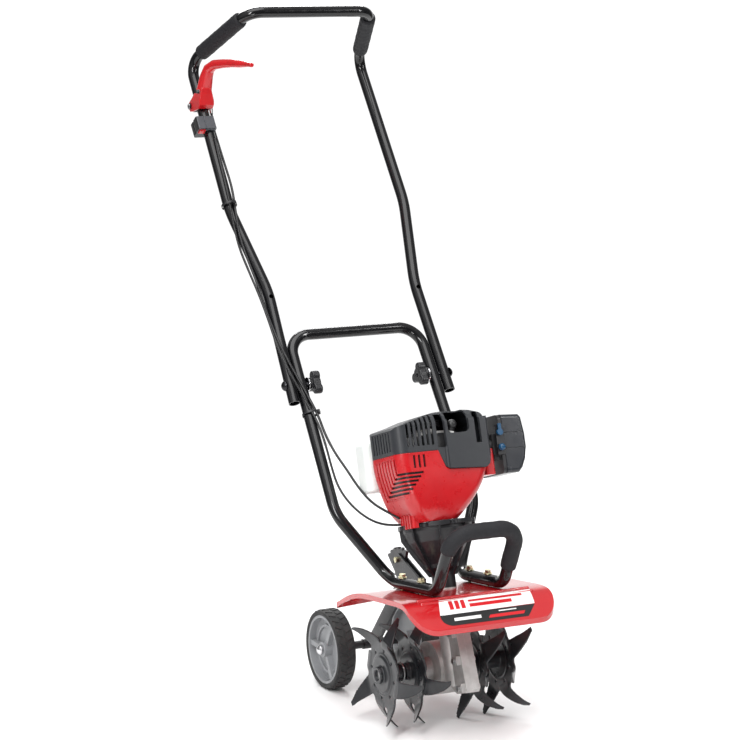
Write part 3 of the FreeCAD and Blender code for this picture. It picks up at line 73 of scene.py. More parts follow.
# ---------------------------------------------------------------- materials
class Shader:
    """A Principled material with small helpers for its procedural inputs."""

    def __init__(self, name, color, rough, metal=0.0, coat=0.0, coat_rough=0.06, spec=0.5):
        self.mat = bpy.data.materials.new(name)
        self.mat.use_nodes = True
        self.tree = self.mat.node_tree
        self.bsdf = self.tree.nodes["Principled BSDF"]
        self.bsdf.inputs["Base Color"].default_value = (*color, 1)
        self.bsdf.inputs["Roughness"].default_value = rough
        self.bsdf.inputs["Metallic"].default_value = metal
        self.bsdf.inputs["Coat Weight"].default_value = coat
        self.bsdf.inputs["Coat Roughness"].default_value = coat_rough
        self.bsdf.inputs["Specular IOR Level"].default_value = spec
        self.color = color
        self.rough = rough
        self.coords = self.node("ShaderNodeTexCoord").outputs["Object"]
        self.normal = None

    def node(self, kind, **values):
        n = self.tree.nodes.new(kind)
        for key, value in values.items():
            setattr(n, key, value)
        return n

    def link(self, a, b):
        self.tree.links.new(a, b)

    def noise(self, scale, detail=3.0, rough=0.5, stretch=None):
        coords = self.coords
        if stretch:
            mapping = self.node("ShaderNodeMapping")
            mapping.inputs["Scale"].default_value = stretch
            self.link(coords, mapping.inputs["Vector"])
            coords = mapping.outputs["Vector"]
        n = self.node("ShaderNodeTexNoise")
        n.inputs["Scale"].default_value = scale
        n.inputs["Detail"].default_value = detail
        n.inputs["Roughness"].default_value = rough
        self.link(coords, n.inputs["Vector"])
        return n.outputs["Fac"]

    def cells(self, scale):
        n = self.node("ShaderNodeTexVoronoi")
        n.inputs["Scale"].default_value = scale
        self.link(self.coords, n.inputs["Vector"])
        return n.outputs["Distance"]

    def ranged(self, source, low, high, from_low=0.3, from_high=0.7):
        n = self.node("ShaderNodeMapRange")
        n.inputs["From Min"].default_value = from_low
        n.inputs["From Max"].default_value = from_high
        n.inputs["To Min"].default_value = low
        n.inputs["To Max"].default_value = high
        self.link(source, n.inputs["Value"])
        return n.outputs["Result"]

    def rounded(self, radius):
        n = self.node("ShaderNodeBevel", samples=4)
        n.inputs["Radius"].default_value = radius
        self.normal = n.outputs["Normal"]
        return self

    def bump(self, source, strength, distance):
        n = self.node("ShaderNodeBump")
        n.inputs["Strength"].default_value = strength
        n.inputs["Distance"].default_value = distance
        self.link(source, n.inputs["Height"])
        if self.normal is not None:
            self.link(self.normal, n.inputs["Normal"])
        self.normal = n.outputs["Normal"]
        return self

    def rough_range(self, source, spread):
        self.link(self.ranged(source, self.rough - spread, self.rough + spread),
                  self.bsdf.inputs["Roughness"])
        return self

    def tint(self, source, other, low=0.35, high=0.7):
        """Base colour mottled between the main colour and another by a source."""
        ramp = self.node("ShaderNodeValToRGB")
        ramp.color_ramp.elements[0].position = low
        ramp.color_ramp.elements[1].position = high
        ramp.color_ramp.elements[0].color = (*self.color, 1)
        ramp.color_ramp.elements[1].color = (*other, 1)
        self.link(source, ramp.inputs["Fac"])
        self.link(ramp.outputs["Color"], self.bsdf.inputs["Base Color"])
        self.base = ramp.outputs["Color"]
        return self

    def worn_edges(self, color, radius, low=0.02, high=0.16):
        """Edges take another colour: where the rounded normal leaves the true one."""
        bevel = self.node("ShaderNodeBevel", samples=4)
        bevel.inputs["Radius"].default_value = radius
        geometry = self.node("ShaderNodeNewGeometry")
        dot = self.node("ShaderNodeVectorMath", operation="DOT_PRODUCT")
        self.link(bevel.outputs["Normal"], dot.inputs[0])
        self.link(geometry.outputs["Normal"], dot.inputs[1])
        away = self.node("ShaderNodeMath", operation="SUBTRACT")
        away.inputs[0].default_value = 1.0
        self.link(dot.outputs["Value"], away.inputs[1])
        mask = self.ranged(away.outputs["Value"], 0.0, 1.0, low, high)
        broken = self.node("ShaderNodeMath", operation="MULTIPLY")
        self.link(mask, broken.inputs[0])
        self.link(self.ranged(self.noise(90, 4), 0.1, 1.0, 0.4, 0.62), broken.inputs[1])
        mix = self.node("ShaderNodeMix", data_type="RGBA")
        self.link(broken.outputs["Value"], mix.inputs["Factor"])
        mix.inputs["A"].default_value = (*self.color, 1)
        if getattr(self, "base", None) is not None:
            self.link(self.base, mix.inputs["A"])
        mix.inputs["B"].default_value = (*color, 1)
        self.link(mix.outputs["Result"], self.bsdf.inputs["Base Color"])
        return self

    def done(self):
        if self.normal is not None:
            self.link(self.normal, self.bsdf.inputs["Normal"])
        return self.mat


def tube_black():
    s = Shader("tube_black", (0.004, 0.004, 0.005), 0.16, coat=0.2, coat_rough=0.08, spec=0.4)
    s.rounded(0.0006).rough_range(s.noise(60), 0.05)
    return s.bump(s.noise(160, 2), 0.04, 0.0004).done()


def foam_black():
    s = Shader("foam_black", (0.011, 0.011, 0.013), 0.7, spec=0.3)
    s.tint(s.noise(900, 2), (0.020, 0.020, 0.023))
    s.bump(s.cells(1500), 0.32, 0.0005)
    return s.bump(s.noise(70, 4), 0.12, 0.0015).done()


def moulded(name, color, rough, other=None, grain=0.08):
    s = Shader(name, color, rough)
    s.rounded(0.0009).rough_range(s.noise(45), 0.05)
    if other:
        s.tint(s.noise(25, 5), other)
    return s.bump(s.noise(1600, 2), grain, 0.0003).done()


def red_paint():
    s = Shader("deck_red", (0.47, 0.004, 0.008), 0.24, coat=0.9, coat_rough=0.05)
    s.rounded(0.0014).tint(s.noise(12, 4), (0.43, 0.004, 0.007))
    s.worn_edges((0.30, 0.02, 0.02), 0.0006, 0.05, 0.3)
    return s.bump(s.noise(160, 2), 0.035, 0.0008).done()


def red_plastic():
    s = Shader("cowl_red", (0.49, 0.006, 0.010), 0.3, coat=0.35, coat_rough=0.15)
    s.rounded(0.0011).tint(s.noise(18, 4), (0.45, 0.005, 0.009)).rough_range(s.noise(60), 0.05)
    return s.bump(s.noise(900, 2), 0.05, 0.0003).done()


def lever_red():
    s = Shader("red_lever", (0.56, 0.010, 0.014), 0.28, coat=0.3, coat_rough=0.15)
    s.tint(s.noise(40, 3), (0.52, 0.009, 0.012))
    return s.bump(s.noise(900, 2), 0.05, 0.0003).done()


def cowl_black():
    s = Shader("cowl_black", (0.019, 0.021, 0.025), 0.38)
    s.rounded(0.0013).tint(s.noise(20, 4), (0.024, 0.026, 0.030)).rough_range(s.noise(60), 0.05)
    return s.bump(s.noise(1500, 2), 0.12, 0.0003).done()


def plated(name, color, rough, other):
    s = Shader(name, color, rough, metal=1.0)
    s.rounded(0.0006).tint(s.noise(70, 5), other).rough_range(s.noise(220), 0.06)
    return s.bump(s.noise(500, 3), 0.04, 0.0004).done()


def switch_grey():
    """A grey cover on a black base, which shows as the box's outer side."""
    s = Shader("grey_switch", (0.07, 0.075, 0.085), 0.42)
    s.rounded(0.0007).tint(s.noise(40, 3), (0.08, 0.085, 0.095))
    split = s.node("ShaderNodeSeparateXYZ")
    s.link(s.coords, split.inputs["Vector"])
    mix = s.node("ShaderNodeMix", data_type="RGBA")
    s.link(s.ranged(split.outputs["X"], 1.0, 0.0, -0.2158, -0.2156), mix.inputs["Factor"])
    s.link(s.base, mix.inputs["A"])
    mix.inputs["B"].default_value = (0.008, 0.008, 0.009, 1)
    s.link(mix.outputs["Result"], s.bsdf.inputs["Base Color"])
    return s.bump(s.noise(1500, 2), 0.08, 0.0003).done()


def fixings():
    """Yellow-zinc deck and bracket fixings; the fold bolts higher up are blackened."""
    s = Shader("zinc", (0.72, 0.66, 0.40), 0.3, metal=1.0)
    s.rounded(0.0006).tint(s.noise(70, 5), (0.60, 0.58, 0.42)).rough_range(s.noise(220), 0.06)
    split = s.node("ShaderNodeSeparateXYZ")
    s.link(s.coords, split.inputs["Vector"])
    mix = s.node("ShaderNodeMix", data_type="RGBA")
    s.link(s.ranged(split.outputs["Z"], 0.0, 1.0, 0.5, 0.505), mix.inputs["Factor"])
    s.link(s.base, mix.inputs["A"])
    mix.inputs["B"].default_value = (0.035, 0.035, 0.038, 1)
    s.link(mix.outputs["Result"], s.bsdf.inputs["Base Color"])
    return s.bump(s.noise(500, 3), 0.04, 0.0004).done()


def cast_alloy():
    s = Shader("cast_alloy", (0.50, 0.49, 0.48), 0.5, metal=0.6)
    s.rounded(0.001).tint(s.noise(40, 6), (0.38, 0.37, 0.36)).rough_range(s.noise(80), 0.1)
    s.worn_edges((0.6, 0.59, 0.57), 0.001)
    return s.bump(s.noise(700, 3), 0.3, 0.0004).done()


def tine_steel():
    s = Shader("tine_steel", (0.010, 0.011, 0.013), 0.34, coat=0.3, coat_rough=0.2, spec=0.4)
    s.tint(s.noise(35, 6), (0.020, 0.021, 0.024)).rough_range(s.noise(50), 0.08)
    return s.bump(s.noise(240, 4), 0.12, 0.0006).done()


def tyre_rubber():
    s = Shader("tyre", (0.021, 0.021, 0.022), 0.66, spec=0.4)
    s.rounded(0.0008).tint(s.noise(30, 5), (0.036, 0.035, 0.034))
    return s.bump(s.noise(600, 3), 0.15, 0.0004).done()


def rim_grey():
    s = Shader("rim_grey", (0.26, 0.265, 0.275), 0.45)
    s.rounded(0.0015).tint(s.noise(18, 4), (0.22, 0.225, 0.235)).rough_range(s.noise(60), 0.06)
    return s.bump(s.noise(1300, 2), 0.1, 0.0003).done()


def tank_white():
    s = Shader("tank", (0.80, 0.82, 0.80), 0.38)
    s.bsdf.inputs["Subsurface Weight"].default_value = 0.25
    s.bsdf.inputs["Subsurface Radius"].default_value = (0.01, 0.01, 0.009)
    s.rounded(0.0015).tint(s.noise(14, 3), (0.74, 0.77, 0.75))
    return s.bump(s.noise(900, 2), 0.06, 0.0003).done()


def filter_foam():
    s = Shader("element", (0.30, 0.26, 0.16), 0.9, spec=0.2)
    s.tint(s.noise(60, 4), (0.2, 0.17, 0.1))
    return s.bump(s.cells(900), 0.5, 0.0008).done()


def bronze():
    s = Shader("bronze", (0.55, 0.36, 0.15), 0.35, metal=1.0)
    s.rounded(0.0006).tint(s.noise(60, 4), (0.42, 0.27, 0.11))
    return s.bump(s.noise(300, 2, stretch=(8, 1, 1)), 0.1, 0.0004).done()


def label(name, color):
    s = Shader(name, color, 0.34, coat=0.1, coat_rough=0.1, spec=0.35)
    s.tint(s.noise(30, 2), tuple(c * 0.94 for c in color))
    return s.bump(s.noise(250, 2), 0.03, 0.0003).done()


MATERIALS = {
    "tube_black": tube_black(), "foam": foam_black(), "deck_red": red_paint(),
    "black_plastic": moulded("black_plastic", (0.010, 0.010, 0.012), 0.36, (0.015, 0.015, 0.017)),
    "red_lever": lever_red(), "grey_switch": switch_grey(),
    "cable": moulded("cable", (0.012, 0.012, 0.013), 0.36, grain=0.03),
    "zinc": fixings(), "dark_alloy": moulded("dark_alloy", (0.014, 0.014, 0.015), 0.5),
    "chrome": plated("chrome", (0.74, 0.74, 0.75), 0.14, (0.62, 0.62, 0.64)),
    "steel": plated("steel", (0.50, 0.50, 0.50), 0.34, (0.38, 0.38, 0.38)),
    "dark_bracket": moulded("dark_bracket", (0.012, 0.012, 0.014), 0.3, (0.018, 0.018, 0.02)),
    "rim_grey": rim_grey(), "tyre": tyre_rubber(), "tine_steel": tine_steel(),
    "cast_alloy": cast_alloy(), "bronze": bronze(), "cowl_black": cowl_black(),
    "cowl_red": red_plastic(), "tank": tank_white(),
    "filter_grey": moulded("filter_grey", (0.014, 0.016, 0.021), 0.24, (0.018, 0.020, 0.025)),
    "blue": moulded("blue", (0.004, 0.055, 0.13), 0.25), "element": filter_foam(),
    "ceramic": moulded("ceramic", (0.8, 0.8, 0.78), 0.25),
}


def wear(obj, material):
    obj.data.materials.clear()
    obj.data.materials.append(material)


for part in record["subparts"]:
    wear(nodes[part["node"]], MATERIALS[part["material_slot"]])


# ---------------------------------------------------------------- mesh helpers
def make_object(name, bm, smooth_angle=None):
    bmesh.ops.recalc_face_normals(bm, faces=bm.faces)
    mesh = bpy.data.meshes.new(name)
    bm.to_mesh(mesh)
    bm.free()
    for face in mesh.polygons:
        face.use_smooth = True
    if smooth_angle:
        mesh.set_sharp_from_angle(angle=math.radians(smooth_angle))
    obj = bpy.data.objects.new(name, mesh)
    bpy.context.scene.collection.objects.link(obj)
    return obj


def bent_path(points, radii, step):
    """Straight runs joined by tangent arcs, as evenly spaced points."""
    out = [points[0].copy()]

    def run(to):
        start = out[-1].copy()
        n = max(1, round((to - start).length / step))
        for i in range(1, n + 1):
            out.append(start.lerp(to, i / n))

    for i in range(1, len(points) - 1):
        back = (points[i - 1] - points[i]).normalized()
        ahead = (points[i + 1] - points[i]).normalized()
        turn = math.pi - back.angle(ahead)
        reach = radii[i - 1] * math.tan(turn / 2)
        middle = (back + ahead).normalized()
        centre = points[i] + middle * (radii[i - 1] / math.cos(turn / 2))
        run(points[i] + back * reach)
        axis = (-back).cross(ahead).normalized()
        arm = out[-1] - centre
        n = max(2, round(radii[i - 1] * turn / step))
        for k in range(1, n + 1):
            out.append(centre + Matrix.Rotation(turn * k / n, 3, axis) @ arm)
    run(points[-1])
    return out


def sweep(name, path, ring, sides=40):
    """A closed tube along a path. ring(fraction, angle) is its radius there."""
    lengths = [0.0]
    for a, b in zip(path, path[1:]):
        lengths.append(lengths[-1] + (b - a).length)
    bm = bmesh.new()
    tangent = (path[1] - path[0]).normalized()
    side = tangent.orthogonal().normalized()
    rows = []
    for i, p in enumerate(path):
        ahead = path[min(i + 1, len(path) - 1)] - path[max(i - 1, 0)]
        new = ahead.normalized()
        side = (tangent.rotation_difference(new) @ side).normalized()
        tangent = new
        other = tangent.cross(side)
        row = []
        for k in range(sides):
            a = 2 * math.pi * k / sides
            r = ring(lengths[i], lengths[-1], a)
            row.append(bm.verts.new(p + (side * math.cos(a) + other * math.sin(a)) * r))
        rows.append(row)
    for a, b in zip(rows, rows[1:]):
        for k in range(sides):
            bm.faces.new((a[k], a[(k + 1) % sides], b[(k + 1) % sides], b[k]))
    bm.faces.new(rows[0])
    bm.faces.new(rows[-1])
    return make_object(name, bm, 50)


def turned(name, profile, place, sides=40):
    """A lathe shape from (radius, height) mm points, placed by a matrix."""
    bm = bmesh.new()
    rows = []
    for r, h in profile:
        if r < 1e-6:
            rows.append([bm.verts.new((0, 0, h / 1000))])
            continue
        rows.append([bm.verts.new((r / 1000 * math.cos(2 * math.pi * k / sides),
                                   r / 1000 * math.sin(2 * math.pi * k / sides), h / 1000))
                     for k in range(sides)])
    for a, b in zip(rows, rows[1:]):
        for k in range(sides):
            n = (k + 1) % sides
            corners = [a[k % len(a)], a[n % len(a)], b[n % len(b)], b[k % len(b)]]
            unique = []
            for v in corners:
                if v not in unique:
                    unique.append(v)
            bm.faces.new(unique)
    for row in (rows[0], rows[-1]):
        if len(row) > 1:
            bm.faces.new(row)
    bm.transform(place)
    return make_object(name, bm, 40)


def facing(point, direction):
    """A matrix that puts local Z along a direction at a point."""
    return Matrix.Translation(point) @ Vector(direction).to_track_quat("Z", "Y").to_matrix().to_4x4()


# ---------------------------------------------------------------- cables
THROTTLE_ROUTE = [
    (-0.164, 0.413, 1.096), (-0.171, 0.390, 1.070), (-0.173, 0.362, 1.042), (-0.173, 0.329, 1.001),
    (-0.175, 0.285, 0.955), (-0.187, 0.242, 0.915), (-0.191, 0.214, 0.867), (-0.184, 0.187, 0.820),
    (-0.178, 0.159, 0.780), (-0.175, 0.128, 0.734), (-0.173, 0.088, 0.690), (-0.166, 0.055, 0.652),
    (-0.153, 0.033, 0.616), (-0.141, 0.008, 0.580), (-0.131, -0.015, 0.547), (-0.127, -0.037, 0.513),
    (-0.121, -0.068, 0.482), (-0.112, -0.099, 0.456), (-0.1055, -0.135, 0.428), (-0.096, -0.171, 0.405),
    (-0.082, -0.208, 0.393), (-0.073, -0.241, 0.387),
]
LEAD_ROUTE = [
    (-0.186, 0.343, 1.048), (-0.189, 0.320, 1.017), (-0.190, 0.293, 0.980), (-0.193, 0.262, 0.940),
    (-0.196, 0.232, 0.892), (-0.194, 0.210, 0.846), (-0.188, 0.181, 0.806), (-0.182, 0.146, 0.764),
    (-0.180, 0.108, 0.722), (-0.179, 0.072, 0.678), (-0.173, 0.040, 0.639), (-0.160, 0.019, 0.603),
    (-0.146, -0.001, 0.567), (-0.136, -0.028, 0.532), (-0.132, -0.052, 0.494), (-0.129, -0.069, 0.457),
    (-0.125, -0.087, 0.423), (-0.116, -0.113, 0.397), (-0.104, -0.146, 0.378), (-0.093, -0.181, 0.369),
    (-0.082, -0.216, 0.369), (-0.073, -0.245, 0.375),
]


def cable(name, route, radius, node):
    """A held cable: a smooth NURBS tube."""
    curve = bpy.data.curves.new(name, "CURVE")
    curve.dimensions = "3D"
    curve.bevel_depth = radius
    curve.bevel_resolution = 5
    curve.resolution_u = 10
    curve.use_fill_caps = True
    spline = curve.splines.new("NURBS")
    spline.points.add(len(route) - 1)
    for point, place in zip(spline.points, route):
        point.co = (*place, 1)
    spline.order_u = 3
    spline.use_endpoint_u = True
    drawn = bpy.data.objects.new(name + "_line", curve)
    bpy.context.scene.collection.objects.link(drawn)
    bpy.context.view_layer.update()
    mesh = bpy.data.meshes.new_from_object(drawn.evaluated_get(bpy.context.evaluated_depsgraph_get()))
    bpy.data.objects.remove(drawn)
    tube = bpy.data.objects.new(name, mesh)
    bpy.context.scene.collection.objects.link(tube)
    wear(tube, MATERIALS["cable"])
    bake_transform(tube)
    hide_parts(node)


cable("throttle_sheath", THROTTLE_ROUTE, 0.0025, "throttle_cable")
cable("switch_wire", LEAD_ROUTE, 0.0023, "switch_lead")


# ---------------------------------------------------------------- foam grips
def sleeve(name, path, outer, body, node):
    """A foam sleeve with soft ends and a slightly uneven skin."""
    def ring(s, total, angle):
        end = min(s, total - s)
        soft = 1 - math.exp(-end / 0.0014)
        wave = 0.00018 * math.sin(s * 190 + angle * 2) + 0.00014 * math.sin(s * 430 - angle * 3)
        return 0.0125 + (outer - 0.0125) * soft + wave * soft
    obj = sweep(name, path, ring, 48)
    wear(obj, MATERIALS["foam"])
    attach(obj, body)
    if node:
        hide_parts(node)
    return obj


def grip_path(side):
    a = at(side * 187.5, 736, 1191)
    run = (at(side * 132, 567, 1295) - a).normalized()
    return [a + run * (0.040 + 0.140 * i / 70) for i in range(71)]


sleeve("foam_grip_right", grip_path(1), 0.0155, "upper_frame", None)
sleeve("foam_grip_left", grip_path(-1), 0.0155, "upper_frame", "handle_grips")

bail = at(67, -166, 397)
bail_leg = (at(68, -111, 281) - bail).normalized()
left_leg = Vector((-bail_leg.x, bail_leg.y, bail_leg.z))
left_top = at(-67, -166, 397)
sleeve("foam_bail", bent_path([left_top + left_leg * 0.041, left_top, bail, bail + bail_leg * 0.092],
                              [0.04, 0.04], 0.002), 0.015, "frame", "front_grip")


# ---------------------------------------------------------------- moulded and forged pieces
def softened(name, node, voxel, passes, body, extra=None):
    """A CAD part's form with its edges melted together, as moulding or forging leaves them."""
    mesh = nodes[node].data.copy()
    if extra:
        bm = bmesh.new()
        bm.from_mesh(mesh)
        extra(bm)
        bm.to_mesh(mesh)
        bm.free()
    obj = bpy.data.objects.new(name, mesh)
    bpy.context.scene.collection.objects.link(obj)
    remesh = obj.modifiers.new("melt", "REMESH")
    remesh.mode = "VOXEL"
    remesh.voxel_size = voxel
    smooth = obj.modifiers.new("soften", "SMOOTH")
    smooth.iterations = passes
    smooth.factor = 0.5
    bpy.context.view_layer.update()
    done = bpy.data.meshes.new_from_object(obj.evaluated_get(bpy.context.evaluated_depsgraph_get()))
    obj.modifiers.clear()
    obj.data = done
    for face in done.polygons:
        face.use_smooth = True
    slot = [p["material_slot"] for p in record["subparts"] if p["node"] == node][0]
    wear(obj, MATERIALS[slot])
    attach(obj, body)
    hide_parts(node)
    return obj


def capsule_run(bm, points, radii, sides=10):
    """A closed tapering rod through points, as one loose shell of the mesh."""
    rows = []
    for i, p in enumerate(points):
        ahead = (points[min(i + 1, len(points) - 1)] - points[max(i - 1, 0)]).normalized()
        side = ahead.cross(Vector((1, 0, 0))).normalized()
        other = ahead.cross(side)
        rows.append([bm.verts.new(p + (side * math.cos(2 * math.pi * k / sides)
                                       + other * math.sin(2 * math.pi * k / sides)) * radii[i])
                     for k in range(sides)])
    for a, b in zip(rows, rows[1:]):
        for k in range(sides):
            bm.faces.new((a[k], a[(k + 1) % sides], b[(k + 1) % sides], b[k]))
    bm.faces.new(rows[0][::-1])
    bm.faces.new(rows[-1])


def pressed_ring(x):
    """A raised ring round the pressed centre of a tine."""
    def add(bm):
        ring = [at(x, RING_R * math.sin(math.radians(7.5 * k)),
                   AXLE_HEIGHT + RING_R * math.cos(math.radians(7.5 * k))) for k in range(48)]
        rows = []
        for k, p in enumerate(ring):
            out = (p - at(x, 0, AXLE_HEIGHT)).normalized()
            rows.append([bm.verts.new(p + (out * math.cos(math.pi * j / 4)
                                           + Vector((1, 0, 0)) * math.sin(math.pi * j / 4)) * 0.0034)
                         for j in range(8)])
        for k in range(48):
            a, b = rows[k], rows[(k + 1) % 48]
            for j in range(8):
                bm.faces.new((a[j], a[(j + 1) % 8], b[(j + 1) % 8], b[j]))
    return add


LEVER_LINE = ((0, 661, 1142, 11.5), (1, 657.5, 1155, 11.5), (2, 654, 1168, 11.5), (4, 646, 1183, 11),
              (8, 628, 1192, 10), (14, 600, 1195, 9), (20, 568, 1197, 8.2), (25, 536, 1197, 7.4),
              (27, 522, 1197, 6.2), (28, 508, 1197, 5), (28, 488, 1196.5, 4.4))


def lever_arm(bm):
    """Trades the lever's flat neck for a rounded one that curves over into the finger arm."""
    bmesh.ops.remove_doubles(bm, verts=bm.verts[:], dist=0.00001)
    cut = bmesh.ops.bisect_plane(bm, geom=bm.verts[:] + bm.edges[:] + bm.faces[:], clear_outer=True,
                                 plane_co=(0, 0, 1.144), plane_no=(0, 0, 1))
    bmesh.ops.holes_fill(bm, edges=[e for e in cut["geom_cut"] if isinstance(e, bmesh.types.BMEdge)])
    for aside in (-1, 1):
        line = [(at(LEVER_X + dx + aside * max(0, (1190 - z) * 0.085), y, z), r / 1000)
                for dx, y, z, r in LEVER_LINE]
        capsule_run(bm, [p for p, _ in line], [r for _, r in line], 20)
    bmesh.ops.recalc_face_normals(bm, faces=bm.faces)


for part, x in (("tine_outer_right", 120), ("tine_inner_right", 64),
                ("tine_inner_left", -64), ("tine_outer_left", -120)):
    softened(part + "_forged", part, 0.0014, 2, "tines", pressed_ring(x))
softened("lever_moulded", "throttle_lever", 0.0010, 6, "throttle", lever_arm)
softened("knob_right_moulded", "knob_right", 0.0008, 8, "right_knob")
softened("knob_left_moulded", "knob_left", 0.0008, 8, "left_knob")

for side, body in ((1, "right_knob"), (-1, "left_knob")):
    cup = turned(body + "_cup", [(4.2, 0), (13, 0), (13.6, 0.8), (13.2, 2.6), (11.2, 3.4), (4.2, 3.4)],
                 facing(at(side * 130.4, 307, 598), (-side, 0, 0)))
    wear(cup, MATERIALS["chrome"])
    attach(cup, body)
ferrule = turned("cable_ferrule", [(2.6, 0), (3.6, 0.4), (3.6, 9), (4.2, 9.4), (4.2, 12), (2.6, 12.4)],
                 facing(at(-165.2, 680.4, 1091), (0.19, 0.65, 0.73)))
wear(ferrule, MATERIALS["steel"])
pivot_screw = turned("lever_pivot_screw", [(0.2, 0), (5.4, 0), (5.2, 0.9), (3.4, 1.7), (0.2, 1.9)],
                     facing(at(LEVER_X - 20, 695, 1107), (-1, 0, 0)))
wear(pivot_screw, MATERIALS["chrome"])
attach(pivot_screw, "upper_frame")
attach(ferrule, "upper_frame")


# ---------------------------------------------------------------- black sheet inside the red cowl: painted shade in its louvres
COWL_LEVELS = ((388, -98, 95, -77, 47, 22), (345, -95, 85, -76, 47, 22), (312, -87, 66, -74, 46, 22),
               (284, -75, 42, -68, 44, 22), (270, -62, 28, -62, 41, 20))


def painted_shade_lining(inset):
    """A black sheet inside the red cowl: painted shade that shows through its louvres."""
    bm = bmesh.new()
    rows = []
    for s, x0, x1, y0, y1, r in COWL_LEVELS:
        x0, x1, y0, y1, r = x0 + inset, x1 - inset, y0 + inset, y1 - inset, r - inset
        row = []
        for cx, cy, start in ((x1 - r, y1 - r, 0), (x0 + r, y1 - r, 90), (x0 + r, y0 + r, 180),
                              (x1 - r, y0 + r, 270)):
            for k in range(7):
                a = math.radians(start + 15 * k)
                row.append(bm.verts.new(on_column(cx + r * math.cos(a), cy + r * math.sin(a), s)))
        rows.append(row)
    for a, b in zip(rows, rows[1:]):
        for k in range(28):
            bm.faces.new((a[k], a[(k + 1) % 28], b[(k + 1) % 28], b[k]))
    obj = make_object("painted_shade_lining", bm, 40)
    wear(obj, MATERIALS["black_plastic"])
    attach(obj, "frame")


# painted shade: a black sheet 3.4 mm inside the cowl darkens the louvre gaps
painted_shade_lining(3.4)


# ---------------------------------------------------------------- label on the deck
deck_bm = bmesh.new()
deck_bm.from_mesh(nodes["shield"].data)
deck_tree = BVHTree.FromBMesh(deck_bm)
deck_bm.free()


def drape(name, plan, nu, nv, lift, material):
    """A thin sticker laid on the deck. plan(u, v) gives x and y in mm."""
    bm = bmesh.new()
    rows = []
    for i in range(nu + 1):
        row = []
        for j in range(nv + 1):
            x, y = plan(i / nu, j / nv)
            start = at(x, y, 400)
            hit, normal, _, _ = deck_tree.ray_cast(start, Vector((0, 0, -1)))
            row.append((hit, normal if normal.z > 0 else -normal))
        rows.append(row)
    top = [[bm.verts.new(h + n * lift) for h, n in row] for row in rows]
    low = [[bm.verts.new(h + n * 0.00002) for h, n in row] for row in rows]
    for i in range(nu):
        for j in range(nv):
            for grid in (top, low):
                bm.faces.new((grid[i][j], grid[i + 1][j], grid[i + 1][j + 1], grid[i][j + 1]))
    rim = ([(i, 0) for i in range(nu)] + [(nu, j) for j in range(nv)]
           + [(i, nv) for i in range(nu, 0, -1)] + [(0, j) for j in range(nv, 0, -1)])
    for a, b in zip(rim, rim[1:] + rim[:1]):
        bm.faces.new((top[a[0]][a[1]], top[b[0]][b[1]], low[b[0]][b[1]], low[a[0]][a[1]]))
    obj = make_object(name, bm, 60)
    wear(obj, material)
    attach(obj, "frame")
    return obj


def quad(a, b, c, d):
    """A four-sided mark from its corners in mm: near left, near right, far right, far left."""
    def plan(u, v):
        x = (a[0] + (b[0] - a[0]) * u) * (1 - v) + (d[0] + (c[0] - d[0]) * u) * v
        y = (a[1] + (b[1] - a[1]) * u) * (1 - v) + (d[1] + (c[1] - d[1]) * u) * v
        return x, y
    return plan


def strip(x0, x1, y0, y1, slant=0.0):
    """A mark between two x and two y values. slant shifts its lower edge along x."""
    return quad((x0, y0), (x1, y0), (x1 + slant, y1), (x0 + slant, y1))


WHITE = label("label_white", (0.86, 0.86, 0.85))
BLACK = label("label_black", (0.012, 0.012, 0.013))
RED = label("label_red", (0.58, 0.008, 0.014))


def band(u, v):
    """The dark lower field: a rounded lower left corner and a slanted right end."""
    left = -91 + 16 * v ** 4
    right = 102.6 - 23 * v
    return left + (right - left) * u, -164.6 - 19.4 * v


drape("label_panel", quad((-77, -132), (109, -130), (103, -163.6), (-90.4, -165)), 60, 14, 0.0003, WHITE)
drape("label_band", band, 60, 14, 0.0003, BLACK)
for i, x in enumerate((-62, -50, -38)):
    drape(f"label_bar_{i}", strip(x, x + 8, -139, -157, -4), 4, 8, 0.0005, RED)
drape("label_stripe_0", strip(-22, 88, -139.5, -145.5, -1.5), 40, 3, 0.0005, RED)
drape("label_stripe_1", strip(-24, 62, -149.5, -156, -1.5), 40, 3, 0.0005, RED)
drape("label_line_0", strip(-66, -12, -171.5, -176.5, -1), 20, 3, 0.0005, WHITE)
drape("label_line_1", strip(26, 62, -167.8, -169.4), 14, 2, 0.0005, WHITE)
drape("label_tab", strip(6, 78, -173.5, -178.5, -5), 30, 3, 0.0005, RED)


# ---------------------------------------------------------------- floor, light, camera
def disc(name, radius):
    bm = bmesh.new()
    centre = bm.verts.new((0, 0, 0))
    inner, outer = ([bm.verts.new((r * math.cos(math.radians(3.75 * k)),
                                   r * math.sin(math.radians(3.75 * k)), 0)) for k in range(96)]
                    for r in (radius * 0.5, radius))
    for k in range(96):
        n = (k + 1) % 96
        bm.faces.new((centre, inner[k], inner[n]))
        bm.faces.new((inner[k], outer[k], outer[n], inner[n]))
    return make_object(name, bm)


floor = disc("floor", 2.4)
floor_shader = Shader("floor", (0.86, 0.86, 0.86), 0.85, spec=0.2)
floor_shader.tint(floor_shader.noise(3, 2), (0.85, 0.85, 0.85))
wear(floor, floor_shader.bump(floor_shader.noise(40, 2), 0.02, 0.0005).done())


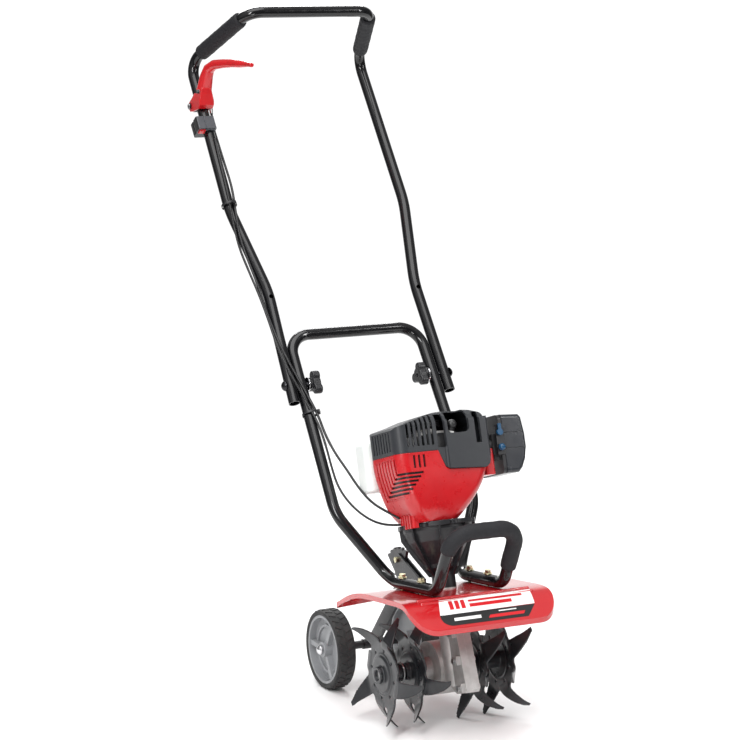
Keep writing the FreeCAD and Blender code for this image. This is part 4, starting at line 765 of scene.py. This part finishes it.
def studio():
    """A dim room with a white wall behind the object and a paler ceiling."""
    world = bpy.data.worlds.new("studio")
    bpy.context.scene.world = world
    world.use_nodes = True
    tree = world.node_tree
    back = tree.nodes["Background"]
    back.inputs["Strength"].default_value = 1.0
    way = tree.nodes.new("ShaderNodeTexCoord").outputs["Generated"]

    def lobe(direction, start, end, level):
        dot = tree.nodes.new("ShaderNodeVectorMath")
        dot.operation = "DOT_PRODUCT"
        dot.inputs[1].default_value = Vector(direction).normalized()
        tree.links.new(way, dot.inputs[0])
        ease = tree.nodes.new("ShaderNodeMapRange")
        ease.interpolation_type = "SMOOTHSTEP"
        ease.inputs["From Min"].default_value = start
        ease.inputs["From Max"].default_value = end
        ease.inputs["To Max"].default_value = level
        tree.links.new(dot.outputs["Value"], ease.inputs["Value"])
        return ease.outputs["Result"]

    total = lobe((0.437, 0.884, -0.1), 0.6, 0.93, 0.95)
    for extra in (lobe((0, 0, 1), 0.3, 0.95, 0.4), lobe((-1, -0.3, 0.5), 0.7, 0.98, 0.5)):
        add = tree.nodes.new("ShaderNodeMath")
        tree.links.new(total, add.inputs[0])
        tree.links.new(extra, add.inputs[1])
        total = add.outputs["Value"]
    base = tree.nodes.new("ShaderNodeMath")
    base.inputs[1].default_value = 0.14
    tree.links.new(total, base.inputs[0])
    tree.links.new(base.outputs["Value"], back.inputs["Color"])


studio()


def soft_light(name, place, target, size, size_y, power):
    data = bpy.data.lights.new(name, "AREA")
    data.shape = "RECTANGLE"
    data.size = size
    data.size_y = size_y
    data.energy = power
    light = bpy.data.objects.new(name, data)
    light.location = place
    light.rotation_euler = (Vector(target) - Vector(place)).to_track_quat("-Z", "Y").to_euler()
    bpy.context.scene.collection.objects.link(light)


def sun(power):
    data = bpy.data.lights.new("overhead", "SUN")
    data.energy = power
    data.angle = math.radians(60)
    light = bpy.data.objects.new("overhead", data)
    light.rotation_euler = (math.radians(8), math.radians(-8), 0)
    bpy.context.scene.collection.objects.link(light)


sun(2.5)
soft_light("key", (-2.4, -2.0, 2.4), (0, 0, 0.6), 0.5, 1.6, 55)
soft_light("strip", (1.9, -2.4, 2.2), (0, 0, 0.6), 0.25, 1.6, 30)
soft_light("low", (-1.5, -3.0, 0.45), (0, -0.3, 0.15), 0.7, 0.5, 14)
soft_light("back", (0.8, 2.6, 2.4), (0, 0, 0.6), 1.6, 0.6, 40)

data = bpy.data.cameras.new("camera")
data.sensor_width = 36
data.lens = 124.02
camera = bpy.data.objects.new("camera", data)
camera.location = (-2.1476, -4.0444 + Y_AXLE, 1.4228)
camera.rotation_euler = (math.radians(90 - 9.44), 0, math.radians(-26.31))
bpy.context.scene.collection.objects.link(camera)
bpy.context.scene.camera = camera
bpy.context.scene.view_settings.view_transform = "Standard"
